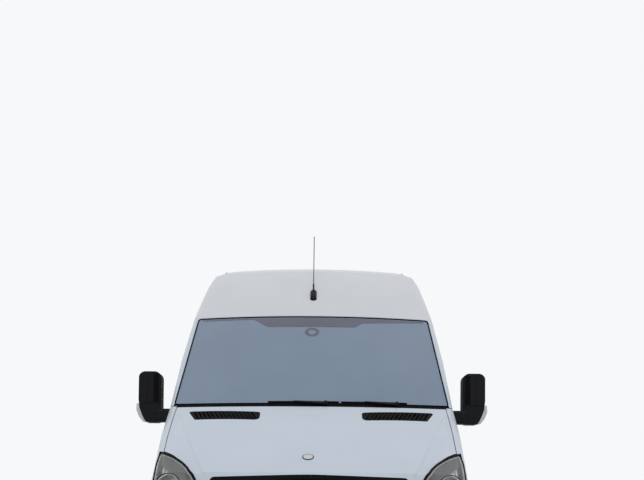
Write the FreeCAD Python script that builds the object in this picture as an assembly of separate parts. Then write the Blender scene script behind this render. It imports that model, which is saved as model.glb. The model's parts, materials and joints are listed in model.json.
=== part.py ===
# A high-roofed minibus on a medium wheelbase, built as separate named pieces: body panels,
# opening doors and bonnet, glass, seats, axles, steered knuckles and wheels.
# Millimetres. The nose points along -Y, +X is the vehicle's left and +Z is up.
# The origin is on the ground, under the middle of the vehicle.
# A station is a distance behind the foremost point of the front bumper.
import FreeCAD
import Part
import math
import os

V = FreeCAD.Vector

# Overall sizes
overall_length = 5910.0
front_overhang = 1004.0
wheelbase = 3665.0
wall = 48.0
bonnet_thickness = 26.0
bonnet_lip = 8.0
wing_thickness = 22.0
panel_gap = 6.0
seat_gap = 0.3

# Grille and bonnet vents
grille_rim_width = 26.0
louvre_height = 14.0
louvre_levels = [808.0, 852.0, 896.0, 938.0]
vent_rim = 12.0
vent_slot_width = 14.0
vent_slot_count = 15
vent_pitch = 26.0

# Towing hatch in the front bumper, a square opening in front of the socket
hatch_x = -420.0
hatch_z = 520.0
hatch_half = 40.0

# Levels above the ground
bumper_bottom_z = 250.0
sill_z = 330.0
door_bottom_z = 430.0
floor_top_z = 650.0
floor_thickness = 50.0
bumper_top_z = 738.0
bonnet_lip_z = 1000.0
screen_base_z = 1436.0
screen_top_z = 2128.0
roof_edge_z = 2624.0
roof_top_z = 2680.0

# Glazing
frame_inner = 58.0
glass_recess = 2.0
glass_depth = 6.0
glass_clearance = 0.4
glass_seat_width = 18.0

# Wheels and axles
tyre_radius = 356.0
tyre_width = 235.0
rim_radius = 212.0
half_track = 858.0
kingpin_offset = 58.0
arch_radius = 400.0
liner_radius = 428.0
liner_wall = 6.0
spindle_radius = 30.0
spindle_clearance = 0.2
steering_lock_room = 330.0

# Doors, as stations and heights
door_front = 1450.0
door_rear = 2440.0
slider_front = 2560.0
slider_rear = 3860.0
door_top_z = 2088.0
rear_door_half_width = 755.0
rear_door_bottom_z = 592.0
rear_door_top_z = 2450.0

# Where the bonnet ends, on each side and behind
bonnet_half_width = 865.0
bonnet_rear_z = 1424.0
lamp_tip_x = 888.0

front_axle = front_overhang
rear_axle = front_overhang + wheelbase
half_length = overall_length / 2
far = 4000.0

# Level sections of the body, each a rounded outline seen from above.
# Columns: height, station of the nose, radius of the front curve, radius of the front corner,
# half width behind the taper, taper of the sides towards the nose.
SECTIONS = [
    (bumper_bottom_z, 105, 2400, 400, 940, 0.012),
    (400, 14, 2400, 430, 968, 0.012),
    (560, 0, 2400, 440, 985, 0.012),
    (bumper_top_z, 42, 2400, 460, 990, 0.014),
    (bonnet_lip_z, 172, 2400, 480, 982, 0.028),
    (1240, 552, 2600, 270, 962, 0.02),
    (screen_base_z, 932, 2900, 48, 940, 0.0176),
    (1780, 1252, 2700, 54, 922, 0.0176),
    (screen_top_z, 1575, 2500, 60, 884, 0.018),
    (2300, 1738, 2300, 110, 853, 0.012),
    (2450, 1892, 2100, 140, 824, 0.006),
    (2560, 2034, 2000, 170, 792, 0.0),
    (roof_edge_z, 2230, 1900, 180, 752, 0.0),
    (2662, 2460, 1800, 180, 664, 0.0),
    (roof_top_z, 2760, 1700, 160, 490, 0.0),
]
taper_start = 2300.0
taper_blend = 9000.0
tail_station = 5862.0
tail_lean = 0.0335
tail_upright_z = 560.0
tail_corner = 60.0


def at(x, station, z):
    return V(x, station - half_length, z)


def rounded(points):
    """Closed wire of straight lines, with an arc of its own radius at each corner."""
    stops = []
    for i, (corner, radius) in enumerate(points):
        if radius <= 0:
            stops.append((corner, None, corner))
            continue
        back = (points[i - 1][0] - corner).normalize()
        ahead = (points[(i + 1) % len(points)][0] - corner).normalize()
        half = back.getAngle(ahead) / 2
        inward = (back + ahead).normalize()
        centre = corner + inward * (radius / math.sin(half))
        reach = radius / math.tan(half)
        stops.append((corner + back * reach, centre - inward * radius, corner + ahead * reach))
    edges = []
    for i, (start, middle, end) in enumerate(stops):
        if middle is not None:
            edges.append(Part.Arc(start, middle, end).toShape())
        following = stops[(i + 1) % len(stops)][0]
        if end.distanceToPoint(following) > 1e-6:
            edges.append(Part.LineSegment(end, following).toShape())
    return Part.Wire(edges)


def side_prism(outline, x_low, x_high):
    """Outline of (station, height, radius) seen from the side, filled from x_low to x_high."""
    wire = rounded([(at(x_low, s, z), r) for s, z, r in outline])
    return Part.Face(wire).extrude(V(x_high - x_low, 0, 0))


def front_prism(outline, s_low, s_high):
    """Outline of (x, height, radius) seen from the front, filled between two stations."""
    wire = rounded([(at(x, s_low, z), r) for x, z, r in outline])
    return Part.Face(wire).extrude(V(0, s_high - s_low, 0))


def top_prism(outline, z_low, z_high):
    """Outline of (x, station, radius) seen from above, filled between two heights."""
    wire = rounded([(at(x, s, z_low), r) for x, s, r in outline])
    return Part.Face(wire).extrude(V(0, 0, z_high - z_low))


def block(x_low, x_high, s_low, s_high, z_low, z_high):
    return Part.makeBox(x_high - x_low, s_high - s_low, z_high - z_low, at(x_low, s_low, z_low))


def rod(start, end, radius):
    return Part.makeCylinder(radius, start.distanceToPoint(end), start, end - start)


def mirrored(shape):
    return shape.mirror(V(0, 0, 0), V(1, 0, 0))


def mirror_outline(outline):
    return [(-a, b, r) for a, b, r in reversed(outline)]


def grown(outline, amount):
    """The same closed outline of (a, b, radius), moved out by an amount on every side."""
    area = sum(
        p[0] * q[1] - q[0] * p[1] for p, q in zip(outline, outline[1:] + outline[:1])
    )
    turn = 1.0 if area > 0 else -1.0
    lines = []
    for (a0, b0, _), (a1, b1, _) in zip(outline, outline[1:] + outline[:1]):
        length = math.hypot(a1 - a0, b1 - b0)
        normal = (turn * (b1 - b0) / length, -turn * (a1 - a0) / length)
        lines.append((normal, normal[0] * a0 + normal[1] * b0 + amount))
    moved = []
    for i, (_, _, radius) in enumerate(outline):
        (n1, c1), (n2, c2) = lines[i - 1], lines[i]
        det = n1[0] * n2[1] - n1[1] * n2[0]
        a = (c1 * n2[1] - c2 * n1[1]) / det
        b = (n1[0] * c2 - n2[0] * c1) / det
        bulge = amount if det * turn > 0 else -amount
        moved.append((a, b, max(radius + bulge, 0.0) if radius > 0 else 0.0))
    return moved


def tail_at(z):
    """Station of the tail at a height; the rear doors lie in one leaning plane."""
    crown = max(z - 2450.0, 0.0)
    return tail_station - tail_lean * max(z - tail_upright_z, 0.0) - crown * crown / 180.0


def level_section(row, inset):
    """Outline of the body at one height: curved nose, round corners, tapered sides, tail."""
    z, nose, front_radius, corner_radius, half_width, taper = row
    nose = nose + inset
    tail = tail_at(z) - inset
    bend_start = max(taper_start, nose + 640.0)
    half_width = half_width - inset
    big = front_radius - inset
    small = max(corner_radius - inset, 2.0)
    centre = V(0, nose + big, 0)
    slope = math.atan(taper)
    along = V(-math.sin(slope), -math.cos(slope), 0)
    outward = V(math.cos(slope), -math.sin(slope), 0)
    start = V(half_width, bend_start, 0)
    # The corner's centre is one small radius inside the side and one inside the front curve.
    inner = start - outward * small
    offset = inner - centre
    b = offset.dot(along)
    c = offset.dot(offset) - (big - small) ** 2
    corner = inner + along * (-b + math.sqrt(b * b - c))
    side_touch = corner + outward * small
    front_touch = centre + (corner - centre).normalize() * big
    middle = corner + ((side_touch - corner) + (front_touch - corner)).normalize() * small
    turn = math.tan(slope / 2) * taper_blend
    ahead = start + along * turn
    behind = start + V(0, turn, 0)
    bend = start - (outward + V(1, 0, 0)).normalize() * (
        taper_blend / math.cos(slope / 2) - taper_blend
    )
    tail_round = max(tail_corner - inset, 2.0)
    tail_start = V(half_width, tail - tail_round, 0)
    tail_end = V(half_width - tail_round, tail, 0)
    tail_middle = V(half_width, tail, 0) - V(1, 1, 0) * (tail_round * (1 - math.sqrt(0.5)))

    def place(p, side=1):
        return at(side * p.x, p.y, z)

    edges = [Part.Arc(place(front_touch, -1), at(0, nose, z), place(front_touch)).toShape()]
    right = [(front_touch, middle, side_touch), (side_touch, ahead)]
    if taper > 0:
        right += [(ahead, bend, behind)]
    else:
        # An arc of no turn would vanish, so a plain line keeps the same count of edges.
        right[-1] = (side_touch, V(half_width, bend_start - 1, 0))
        right += [(V(half_width, bend_start - 1, 0), V(half_width, bend_start + 1, 0))]
        behind = V(half_width, bend_start + 1, 0)
    right += [(behind, tail_start), (tail_start, tail_middle, tail_end)]
    for points in right:
        edges.append(stretch([place(p) for p in points]))
    edges.append(Part.LineSegment(place(tail_end), place(tail_end, -1)).toShape())
    for points in reversed(right):
        edges.append(stretch([place(p, -1) for p in reversed(points)]))
    return Part.Wire(edges)


def stretch(points):
    if len(points) == 3:
        return Part.Arc(*points).toShape()
    return Part.LineSegment(*points).toShape()


def loft(rows, inset):
    return Part.makeLoft([level_section(row, inset) for row in rows], True, True)


HULLS = {}


def hull(inset):
    """The whole body as one closed form, moved in by an inset measured level."""
    if inset not in HULLS:
        top = roof_top_z - inset
        rows = [row for row in SECTIONS if row[0] < top - 4 - inset / 3]
        rows.append((top, *SECTIONS[-1][1:]))
        HULLS[inset] = loft(rows, inset)
    return HULLS[inset]


def shell(outer, inner):
    return hull(outer).cut(hull(inner))


NODES = {}


def node(name, shape):
    """Keep a finished piece under its name."""
    NODES[name] = shape.removeSplitter()


def pair(name, shape):
    """A left piece and its mirrored right one."""
    node(name + "_left", shape)
    node(name + "_right", mirrored(shape))


def both(shape):
    return Part.makeCompound([shape, mirrored(shape)])


def all_in_one(shapes):
    """One piece from overlapping solids."""
    return shapes[0].fuse(shapes[1:]).removeSplitter()


def glaze(panel, prism_of, outline):
    """Open a window in a panel, leave a rebated seat, and return panel and pane."""
    hole = prism_of(grown(outline, -glass_seat_width))
    seat = prism_of(grown(outline, glass_clearance)).cut(hull(glass_recess + glass_depth + 0.4))
    pane = prism_of(outline).common(shell(glass_recess, glass_recess + glass_depth))
    return panel.cut([hole, seat]), pane


def left_side(outline):
    return side_prism(outline, 560, 1100)


def tail_face(outline):
    return front_prism(outline, 5600, 6000)


def nose_face(outline):
    return front_prism(outline, -100, 2100)


# Outlines seen from the side, as station, height and corner radius
DOOR = [
    (door_rear, door_bottom_z, 50),
    (door_rear, door_top_z, 60),
    (1808, door_top_z, 60),
    (1210, 1462, 40),
    (1214, 1330, 90),
    (door_front, 900, 260),
    (door_front, door_bottom_z, 50),
]
DOOR_WINDOW = [
    (2372, 1330, 70),
    (2372, 2010, 70),
    (1838, 2010, 60),
    (1290, 1424, 20),
    (1310, 1392, 30),
    (1560, 1330, 200),
]
SLIDER = [
    (slider_front, door_bottom_z, 50),
    (slider_rear, door_bottom_z, 50),
    (slider_rear, door_top_z, 60),
    (slider_front, door_top_z, 60),
]
SIDE_WINDOWS = [(2616, 3804), (3930, 4880), (4960, 5660)]
window_low_z = 1340.0
window_high_z = 2012.0
window_corner = 80.0

# Outlines seen from the front, as x, height and corner radius
SCREEN = [(891, 1443, 20), (835, 2121, 20), (-835, 2121, 20), (-891, 1443, 20)]
LAMP = [
    (596, 758.4, 12),
    (602, 900, 90),
    (652, 995, 120),
    (718, 1055, 160),
    (804, 1101, 200),
    (899, 1130, 12),
    (914, 1060, 100),
    (906, 830, 80),
    (870, 758.4, 60),
]
BONNET_EDGE = [
    (bonnet_half_width, bonnet_rear_z, 0),
    (bonnet_half_width, 1126, 0),
    (802, 1108, 200),
    (714, 1061.5, 160),
    (646, 999.5, 120),
    (595, 902, 90),
    (589, 764, 12),
    (0, 764, 0),
]
GRILLE = [(0, 990, 3000), (548, 974, 26), (560, 764, 0), (-560, 764, 0), (-548, 974, 26)]

# Outline of a bonnet vent seen from above, as x, station and radius
VENT = [(316, 736, 28), (722, 822, 12), (780, 955, 12), (316, 850, 28)]
REAR_DOOR = [
    (3, rear_door_bottom_z, 0),
    (rear_door_half_width, rear_door_bottom_z, 40),
    (rear_door_half_width, 2128, 400),
    (688, rear_door_top_z, 60),
    (3, rear_door_top_z, 0),
]
REAR_WINDOW = [(110, 1345, 60), (640, 1345, 60), (640, 2010, 60), (110, 2010, 60)]

# Regions
arch_front = rod(at(500, front_axle, tyre_radius), at(1100, front_axle, tyre_radius), arch_radius)
arch_rear = rod(at(500, rear_axle, tyre_radius), at(1100, rear_axle, tyre_radius), arch_radius)
bumper_region = side_prism(
    [(-100, 240, 0), (1000, 240, 0), (1000, 612, 0), (700, 612, 60), (540, 758, 80), (-100, 758, 0)],
    -1100,
    1100,
)
frame_region = side_prism(
    [(800, 1437, 0), (1300, 1437, 0), (1900, 2100, 0), (1850, 2129.6, 0), (800, 2129.6, 0)],
    -1100,
    1100,
)
door_hole = left_side(grown(DOOR, panel_gap))
wing_region = left_side([(-60, 430, 0), (1470, 430, 0), (1470, 930, 0), (1230, 1340, 0), (1230, 1431.4, 0), (-60, 1431.4, 0)])
tail_bumper_region = block(-1100, 1100, 5480, 6000, 240, 586)


# Roof with its raised cap
roof = shell(0, wall).common(block(-1100, 1100, -100, 6100, 2130, 2800))
roof = roof.cut(tail_face([(x, z, r) for x, z, r in grown(REAR_DOOR[1:4] + mirror_outline(REAR_DOOR[1:4]), panel_gap)]))
node("roof", roof)

# Frame around the windscreen, with the pillars, and the bonded glass
screen_frame, windscreen = glaze(shell(0, wall).common(frame_region), nose_face, SCREEN)
node("screen_frame", screen_frame.cut([door_hole, mirrored(door_hole)]))
node("windscreen", windscreen)

# Sides from the door pillars to the rear posts
side = shell(0, wall).common(block(640, 1100, 1300, 6100, sill_z, 2129.6))
side = side.cut([
    frame_region, wing_region, door_hole, arch_front, arch_rear, tail_bumper_region,
    tail_face(grown(REAR_DOOR, panel_gap)), block(640, 770, 5600, 6100, 200, 700),
])
TAIL_LAMP = [(790, 1010, 20), (1100, 1010, 0), (1100, 1500, 0), (790, 1500, 20)]
lamp_box = block(800, 1100, 5600, 6100, 1000, 1500).cut(block(700, 1100, 5500, 5765, 900, 1600))
tail_lamp = shell(0, 30).common(lamp_box)
side = side.cut(block(799.6, 1100, 5764.6, 6100, 999.6, 1500.4).cut(hull(30.4)))
right_side = side.cut([left_side(grown(SLIDER, panel_gap))])
panes = []
for front, rear in SIDE_WINDOWS:
    outline = [
        (front, window_low_z, window_corner), (rear, window_low_z, window_corner),
        (rear, window_high_z, window_corner), (front, window_high_z, window_corner),
    ]
    side, pane = glaze(side, left_side, outline)
    panes.append(pane)
    if front == SIDE_WINDOWS[0][0]:
        slider = shell(0, wall).common(left_side(SLIDER))
        slider, slider_pane = glaze(slider, left_side, outline)
    else:
        right_side, pane = glaze(right_side, left_side, outline)
node("side_left", side)
node("side_right", mirrored(right_side))
node("sliding_door", mirrored(slider))
node("glass_left", Part.makeCompound(panes))
node("glass_right", mirrored(Part.makeCompound([slider_pane] + panes[1:])))
node("tail_lamps", both(tail_lamp))

# Front doors, hung at the corner ahead of the window
door, door_glass = glaze(shell(0, wall).common(left_side(DOOR)), left_side, DOOR_WINDOW)
pair("door", door)
pair("door_glass", door_glass)

# Rear doors
rear_door, rear_glass = glaze(shell(0, wall).common(tail_face(REAR_DOOR)), tail_face, REAR_WINDOW)
pair("rear_door", rear_door)
pair("rear_glass", rear_glass)

# Bonnet, headlamps, grille, bumper and wings
bonnet_region = nose_face(BONNET_EDGE + mirror_outline(BONNET_EDGE[:-1]))
bonnet = shell(0, bonnet_thickness).common(bonnet_region).cut(
    block(-1000, 1000, 700, 1200, bonnet_rear_z - 24, 1500).common(hull(bonnet_lip))
)
vent_hole = top_prism(grown(VENT, seat_gap), 1200, 1500)
grille_hole = nose_face(grown(GRILLE, seat_gap))
node("bonnet", bonnet.cut([grille_hole, vent_hole, mirrored(vent_hole)]))


def vent_slot(x):
    """One slanted slot of a vent, cut as far as a rim of vent_rim all round."""
    (x0, front0, _), (x1, front1, _), (x2, rear1, _), (_, rear0, _) = VENT
    lean = (x2 - x1) / (rear1 - front1)
    outline = []
    for start in (x, x + vent_slot_width):
        front = front0 + (start - x0) * (front1 - front0) / (x1 - x0) + vent_rim
        rear_x = start + lean * (rear0 - front0 - 2 * vent_rim)
        rear = rear0 + (rear_x - x0) * (rear1 - rear0) / (x2 - x0) - vent_rim
        outline.append(((start, front, 0), (rear_x, rear, 0)))
    (a, b), (c, d) = outline
    return top_prism([a, c, d, b], 1200, 1500)


vent_slots = [vent_slot(VENT[0][0] + vent_rim + i * vent_pitch) for i in range(vent_slot_count)]
vent = shell(2, 16).common(top_prism(VENT, 1200, 1500)).cut(vent_slots)
node("bonnet_vents", both(vent))
lamp_region = nose_face(LAMP).common(block(0, 1100, -100, 640, 700, 1200))
pair("headlamp", shell(1, 70).common(lamp_region))
grille_skin = shell(2, 34).common(nose_face(GRILLE))
louvres = [
    shell(8, 34).common(nose_face(GRILLE)).common(block(-600, 600, -100, 400, z, z + louvre_height))
    for z in louvre_levels
]
grille_rim = grille_skin.cut(nose_face(grown(GRILLE, -grille_rim_width)))
node("grille", all_in_one([grille_rim] + louvres))
bumper = shell(0, 30).common(bumper_region).cut([arch_front, mirrored(arch_front)])


def bumper_piece(x_low, x_high, z_low, z_high):
    """The bumper between four planes beside its towing hatch."""
    return bumper.common(block(x_low, x_high, -100, 1200, z_low, z_high))


hatch_left, hatch_right = hatch_x - hatch_half, hatch_x + hatch_half
node("front_bumper", Part.makeCompound([
    bumper_piece(-1200, hatch_left, 0, 1000),
    bumper_piece(hatch_right, 1200, 0, 1000),
    bumper_piece(hatch_left + seat_gap, hatch_right - seat_gap, hatch_z + hatch_half, 1000),
    bumper_piece(hatch_left + seat_gap, hatch_right - seat_gap, 0, hatch_z - hatch_half),
]))
wing = shell(0, wing_thickness).common(wing_region)
wing = wing.cut([
    arch_front,
    bumper_region,
    nose_face(grown(LAMP, seat_gap)).common(block(0, 1100, -100, 640 + seat_gap, 700, 1200)),
    nose_face(grown(BONNET_EDGE[:-1] + [(-900, 994, 0), (-900, bonnet_rear_z, 0)], panel_gap)).common(
        block(0, 1100, -100, 1300, 900, 1431)
    ),
    block(0, bonnet_half_width + panel_gap, -100, 1300, 900, 1500),
    block(0, 880, -100, 560, 700, 1080),
])
gutter = shell(bonnet_thickness + seat_gap, 34).common(block(846, 890, 540, 1190, 1136, 1420))
gutter = gutter.fuse(shell(wing_thickness - 2, 34).common(block(872, 890, 540, 1190, 1136, 1420)))
pair("wing", all_in_one([wing.cut(door_hole), gutter.cut(lamp_region)]))

# Rear bumper with its step
bumper_plan = [(956, 5480, 0), (956, 5868, 60), (905, 5910, 60), (-905, 5910, 60), (-956, 5868, 60), (-956, 5480, 0)]
inner_plan = grown(bumper_plan, -40)
inner_plan = [(x, s if s > 5600 else 5400, r) for x, s, r in inner_plan]
rear_bumper = top_prism(bumper_plan, 345, 582).cut(top_prism(inner_plan, 300, 560))
rear_bumper = rear_bumper.cut(block(-600, 600, 5400, 5712 + seat_gap, 300, 600))
node("rear_bumper", rear_bumper.cut([arch_rear, mirrored(arch_rear)]))

# Floor, wheel housings and bulkhead
front_tub = all_in_one([
    rod(at(534, front_axle, tyre_radius), at(1100, front_axle, tyre_radius), liner_radius + liner_wall),
    block(534, 1100, front_axle - 434, front_axle + 434, 100, tyre_radius),
])
front_room = all_in_one([
    rod(at(540, front_axle, tyre_radius), at(1101, front_axle, tyre_radius), liner_radius),
    block(540, 1101, front_axle - liner_radius, front_axle + liner_radius, 90, tyre_radius),
])
rear_tub = all_in_one([
    rod(at(664, rear_axle, tyre_radius), at(1100, rear_axle, tyre_radius), liner_radius + liner_wall),
    block(664, 1100, rear_axle - 434, rear_axle + 434, 100, tyre_radius),
])
rear_room = all_in_one([
    rod(at(670, rear_axle, tyre_radius), at(1101, rear_axle, tyre_radius), liner_radius),
    block(670, 1101, rear_axle - liner_radius, rear_axle + liner_radius, 90, tyre_radius),
])
front_liner = front_tub.cut(front_room).common(hull(30.3)).common(block(0, 1100, 0, 1500, 330, 900))
front_liner = front_liner.cut(block(800, 1100, 1390, 1500, 300, 900).cut(hull(wall + 0.3)))
rear_liner = rear_tub.cut(rear_room).common(hull(wall + 0.3)).common(block(0, 1100, 4000, 5400, 420, 900))
node("wheel_housings", Part.makeCompound([both(front_liner), both(rear_liner)]))
tubs = [front_tub, mirrored(front_tub), rear_tub, mirrored(rear_tub)]
floor = block(-1000, 1000, 1170, 5796, floor_top_z - floor_thickness, floor_top_z)
floor = floor.common(hull(frame_inner + seat_gap)).cut(tubs)
node("floor", floor)
bulkhead = block(-870, 870, 1150, 1169.7, floor_top_z - floor_thickness, 1330)
node("bulkhead", bulkhead.common(hull(wall + 2)).cut(tubs[:2]))

# Frames that the doors close against, just inside their inner faces
tail_outline = REAR_DOOR[1:4] + mirror_outline(REAR_DOOR[1:4])


def door_frame(prism_of, outline):
    ring = prism_of(grown(outline, 22)).cut(prism_of(grown(outline, -14)))
    return ring.common(hull(wall + seat_gap)).cut([hull(frame_inner)] + tubs)


cab_frame = door_frame(left_side, [(s, z, 0 if s < 1300 else r) for s, z, r in DOOR])
tail_frame = door_frame(tail_face, tail_outline).cut(block(-1100, 1100, 5600, 6000, 500, 582 + seat_gap))
slider_frame = mirrored(door_frame(left_side, SLIDER))
node("door_frames", Part.makeCompound([cab_frame, mirrored(cab_frame), slider_frame, tail_frame]))

# Dashboard and steering wheel
dash = side_prism(
    [
        (985, 1390, 20), (1330, 1490, 120), (1560, 1510, 50), (1628, 1450, 40), (1604, 1120, 30),
        (1480, 980, 60), (1170, 930, 0), (1170, 1330.3, 0), (985, 1330.3, 0),
    ],
    -848,
    848,
)
dash = dash.common(hull(frame_inner + seat_gap))
steer_hub = at(430, 1752, 1490)
steer_axis = V(0, 0.62, 0.785).normalize()
dash = dash.cut(Part.makeCylinder(32 + seat_gap, 300, steer_hub - steer_axis * 300, steer_axis))
node("dashboard", dash)
corners = [
    steer_hub + V(195 + 16 * math.cos(a), 0, 0) + steer_axis * (16 * math.sin(a))
    for a in (math.radians(22.5 + 45 * i) for i in range(8))
]
ring = Part.Face(Part.makePolygon(corners + corners[:1])).revolve(steer_hub, steer_axis, 360)
boss = Part.makeCylinder(70, 50, steer_hub - steer_axis * 40, steer_axis)
column = Part.makeCylinder(32, 260, steer_hub - steer_axis * 295, steer_axis)
spokes = [
    Part.makeCylinder(16, 186, steer_hub, V(math.cos(a), 0, 0) + steer_axis.cross(V(1, 0, 0)) * math.sin(a))
    for a in (0, math.pi, -math.pi / 2)
]
node("steering_wheel", all_in_one([ring, boss, column] + spokes))

# Seats: places of the cushion's front middle, as x, station and width
FRONT_SEATS = [(480, 1990, 490), (-150, 1990, 440), (-595, 1990, 440)]
seat_rows = [2960, 3680, 4300, 4930]
REAR_SEATS = [(x, s, 430) for s in seat_rows for x in (620, 180, -560)]


def seat(x, station, width):
    half = width / 2
    cushion = block(x - half, x + half, station, station + 470, 960, 1080)
    base_low = max(x - half + 60, -640)
    base_high = min(x + half - 60, 640)
    base = block(base_low, base_high, station + 60, station + 420, floor_top_z, 960)
    back = side_prism(
        [(station + 400, 1080, 0), (station + 540, 1080, 0), (station + 640, 1640, 40), (station + 540, 1660, 40)],
        x - half,
        x + half,
    )
    rest = side_prism(
        [(station + 545, 1640, 0), (station + 625, 1630, 0), (station + 650, 1830, 30), (station + 575, 1830, 30)],
        x - 130,
        x + 130,
    )
    foot = block(x - half, x + half, station + 400, station + 470, 1000, 1081)
    return all_in_one([cushion, base, back, rest, foot])


node("front_seats", Part.makeCompound([seat(*place) for place in FRONT_SEATS]))
node("rear_seats", Part.makeCompound([seat(*place) for place in REAR_SEATS]))

# Chassis frame: rails, cross members, outriggers and pads, each its own bar
rail_front, rail_rear = 200 + seat_gap, 5690 - seat_gap
rail_inner, rail_outer = 400, 470
frame_bars = [
    block(rail_inner, rail_outer, rail_front, rail_rear, 450, 570),
    block(-rail_outer, -rail_inner, rail_front, rail_rear, 450, 570),
    block(-560, 560, 5690, 5712, 430, 590),
]
reach = rail_inner - seat_gap
for station in (620, 1500, 2400, 3400, 4300, 5200, 5600):
    frame_bars.append(block(-reach, reach, station, station + 60, 470, 550))
pad_top = floor_top_z - floor_thickness - seat_gap
for station in (1520, 2500, 3420, 4160, 5180):
    frame_bars.append(both(block(rail_outer + seat_gap, 880, station, station + 50, 540, pad_top)))
for station in (1700, 2700, 3600, 5300):
    frame_bars.append(both(block(rail_inner, rail_outer, station, station + 70, 570 + seat_gap, pad_top)))
crash_cans = [block(x, x + 70, 20, 160, 480, 550).common(hull(30 + seat_gap)) for x in (-570, 500)]
eye_boss = rod(at(-420, 88, 520), at(-420, 200, 520), 24)
crash_beam = all_in_one([block(-600, 600, 150, 200, 450, 570), eye_boss] + crash_cans)
frame_bars.append(crash_beam.cut(rod(at(-420, 60, 520), at(-420, 260, 520), 11)))
node("chassis_frame", Part.makeCompound(frame_bars))

# Engine, radiator, shafts, exhaust and tank
engine = all_in_one([
    block(-260, 260, 420, 1080, 550.3, 1040),
    block(-190, 190, 1000, 1148, 480, 760),
])
node("engine_block", engine)
node("radiator", block(-560, 560, 260, 330, 570, 900))
node("gearbox_shaft", all_in_one([
    rod(at(0, 1166, 500), at(0, 1476, 440), 100),
    rod(at(0, 1450, 430), at(0, 4529, 376), 34),
]))
node("fuel_tank", block(500, 860, 1600, 2540, 340, 539.7))
node("exhaust", all_in_one([
    rod(at(-300, 1110, 441.7), at(-300, 2600, 441.7), 28),
    rod(at(-300, 2550, 441.7), at(-300, 3350, 441.7), 85),
    rod(at(-300, 3300, 441.7), at(-300, 4100, 415), 28),
    rod(at(-285, 4085, 416), at(-890, 4130, 360), 28),
]))

# Front suspension: subframe, lower arms and struts, clear of the turned wheels
front_parts = [block(-520, 520, front_axle - 90, front_axle + 90, 330, 450 - seat_gap)]
for side_sign in (1, -1):
    low, high = sorted((side_sign * 500, side_sign * 620))
    front_parts.append(block(low, high, front_axle - 80, front_axle + 80, 240, 300))
    low, high = sorted((side_sign * 600, side_sign * 800))
    front_parts.append(block(low, high, front_axle - 28, front_axle + 28, 222, 246))
    front_parts.append(rod(at(side_sign * 800, front_axle, 214), at(side_sign * 800, front_axle, 254 - seat_gap), 20))
    low, high = sorted((side_sign * 440, side_sign * 520))
    front_parts.append(block(low, high, front_axle - 60, front_axle + 60, 250, 450 - seat_gap))
    front_parts.append(rod(at(side_sign * 676, front_axle, 470), at(side_sign * 640, front_axle, 786), 24))
    front_parts.append(rod(at(side_sign * 655, front_axle, 600), at(side_sign * 638, front_axle, 780), 50))
    low, high = sorted((side_sign * 470, side_sign * 690))
    front_parts.append(block(low, high, front_axle - 22, front_axle + 22, 460, 490))
node("front_suspension", all_in_one(front_parts).cut([front_liner, mirrored(front_liner)]))

# Rear axle beam on leaf springs
rear_parts = [rod(at(-790, rear_axle, tyre_radius), at(790, rear_axle, tyre_radius), 46)]
rear_parts.append(rod(at(-90, rear_axle, tyre_radius), at(90, rear_axle, tyre_radius), 140))
for side_sign in (1, -1):
    low, high = sorted((side_sign * 545, side_sign * 615))
    rear_parts.append(side_prism(
        [(rear_axle - 640, 470, 0), (rear_axle - 640, 450, 0), (rear_axle, 396, 0), (rear_axle + 620, 470, 0), (rear_axle + 620, 490, 0), (rear_axle, 432, 0)],
        low,
        high,
    ))
    low, high = sorted((side_sign * 470, side_sign * 630))
    rear_parts.append(block(low, high, rear_axle - 670, rear_axle - 610, 440, 520))
    rear_parts.append(block(low, high, rear_axle + 590, rear_axle + 650, 455, 530))
    rear_parts.append(rod(at(side_sign * 740, rear_axle, tyre_radius), at(side_sign * 812, rear_axle, tyre_radius), 120))
    rear_parts.append(rod(at(side_sign * 800, rear_axle, tyre_radius), at(side_sign * 880, rear_axle, tyre_radius), spindle_radius))
node("rear_axle", all_in_one(rear_parts))

# Steered knuckles with their spindles and brakes
knuckle = all_in_one([
    rod(at(752, front_axle, tyre_radius), at(820, front_axle, tyre_radius), 100),
    rod(at(800, front_axle, tyre_radius), at(880, front_axle, tyre_radius), spindle_radius),
    block(742, 780, front_axle - 35, front_axle + 35, 262, 452),
    block(742, 815, front_axle - 24, front_axle + 24, 254, 280),
])
pair("knuckle", knuckle)


def wheel(station):
    """A tyre and its rim on the left side, with a hub bore that turns on the spindle."""
    centre_x = half_track
    tread = [
        (centre_x - 96, rim_radius, 0),
        (centre_x - tyre_width / 2, 278, 0),
        (centre_x - 113, tyre_radius - 28, 0),
        (centre_x - 90, tyre_radius, 0),
        (centre_x + 90, tyre_radius, 0),
        (centre_x + 113, tyre_radius - 28, 0),
        (centre_x + tyre_width / 2, 278, 0),
        (centre_x + 96, rim_radius, 0),
    ]
    profile = rounded([(at(a, station, tyre_radius + b), r) for a, b, r in tread])
    tyre = Part.Face(profile).revolve(at(0, station, tyre_radius), V(1, 0, 0), 360)
    dish = [
        (centre_x - 90, rim_radius - 0.2, 0),
        (centre_x + 92, rim_radius - 0.2, 0),
        (centre_x + 92, rim_radius - 14, 0),
        (centre_x + 66, rim_radius - 22, 0),
        (centre_x + 40, 120, 0),
        (centre_x + 62, 90, 0),
        (centre_x + 62, spindle_radius + spindle_clearance, 0),
        (centre_x - 30, spindle_radius + spindle_clearance, 0),
        (centre_x - 30, 70, 0),
        (centre_x + 20, 90, 0),
        (centre_x + 22, 120, 0),
        (centre_x + 50, rim_radius - 14, 0),
        (centre_x - 90, rim_radius - 14, 0),
    ]
    profile = rounded([(at(a, station, tyre_radius + b), r) for a, b, r in dish])
    rim = Part.Face(profile).revolve(at(0, station, tyre_radius), V(1, 0, 0), 360)
    return tyre, rim


for place, station in (("front", front_axle), ("rear", rear_axle)):
    tyre, rim = wheel(station)
    pair(f"tyre_{place}", tyre)
    pair(f"rim_{place}", rim)

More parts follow.
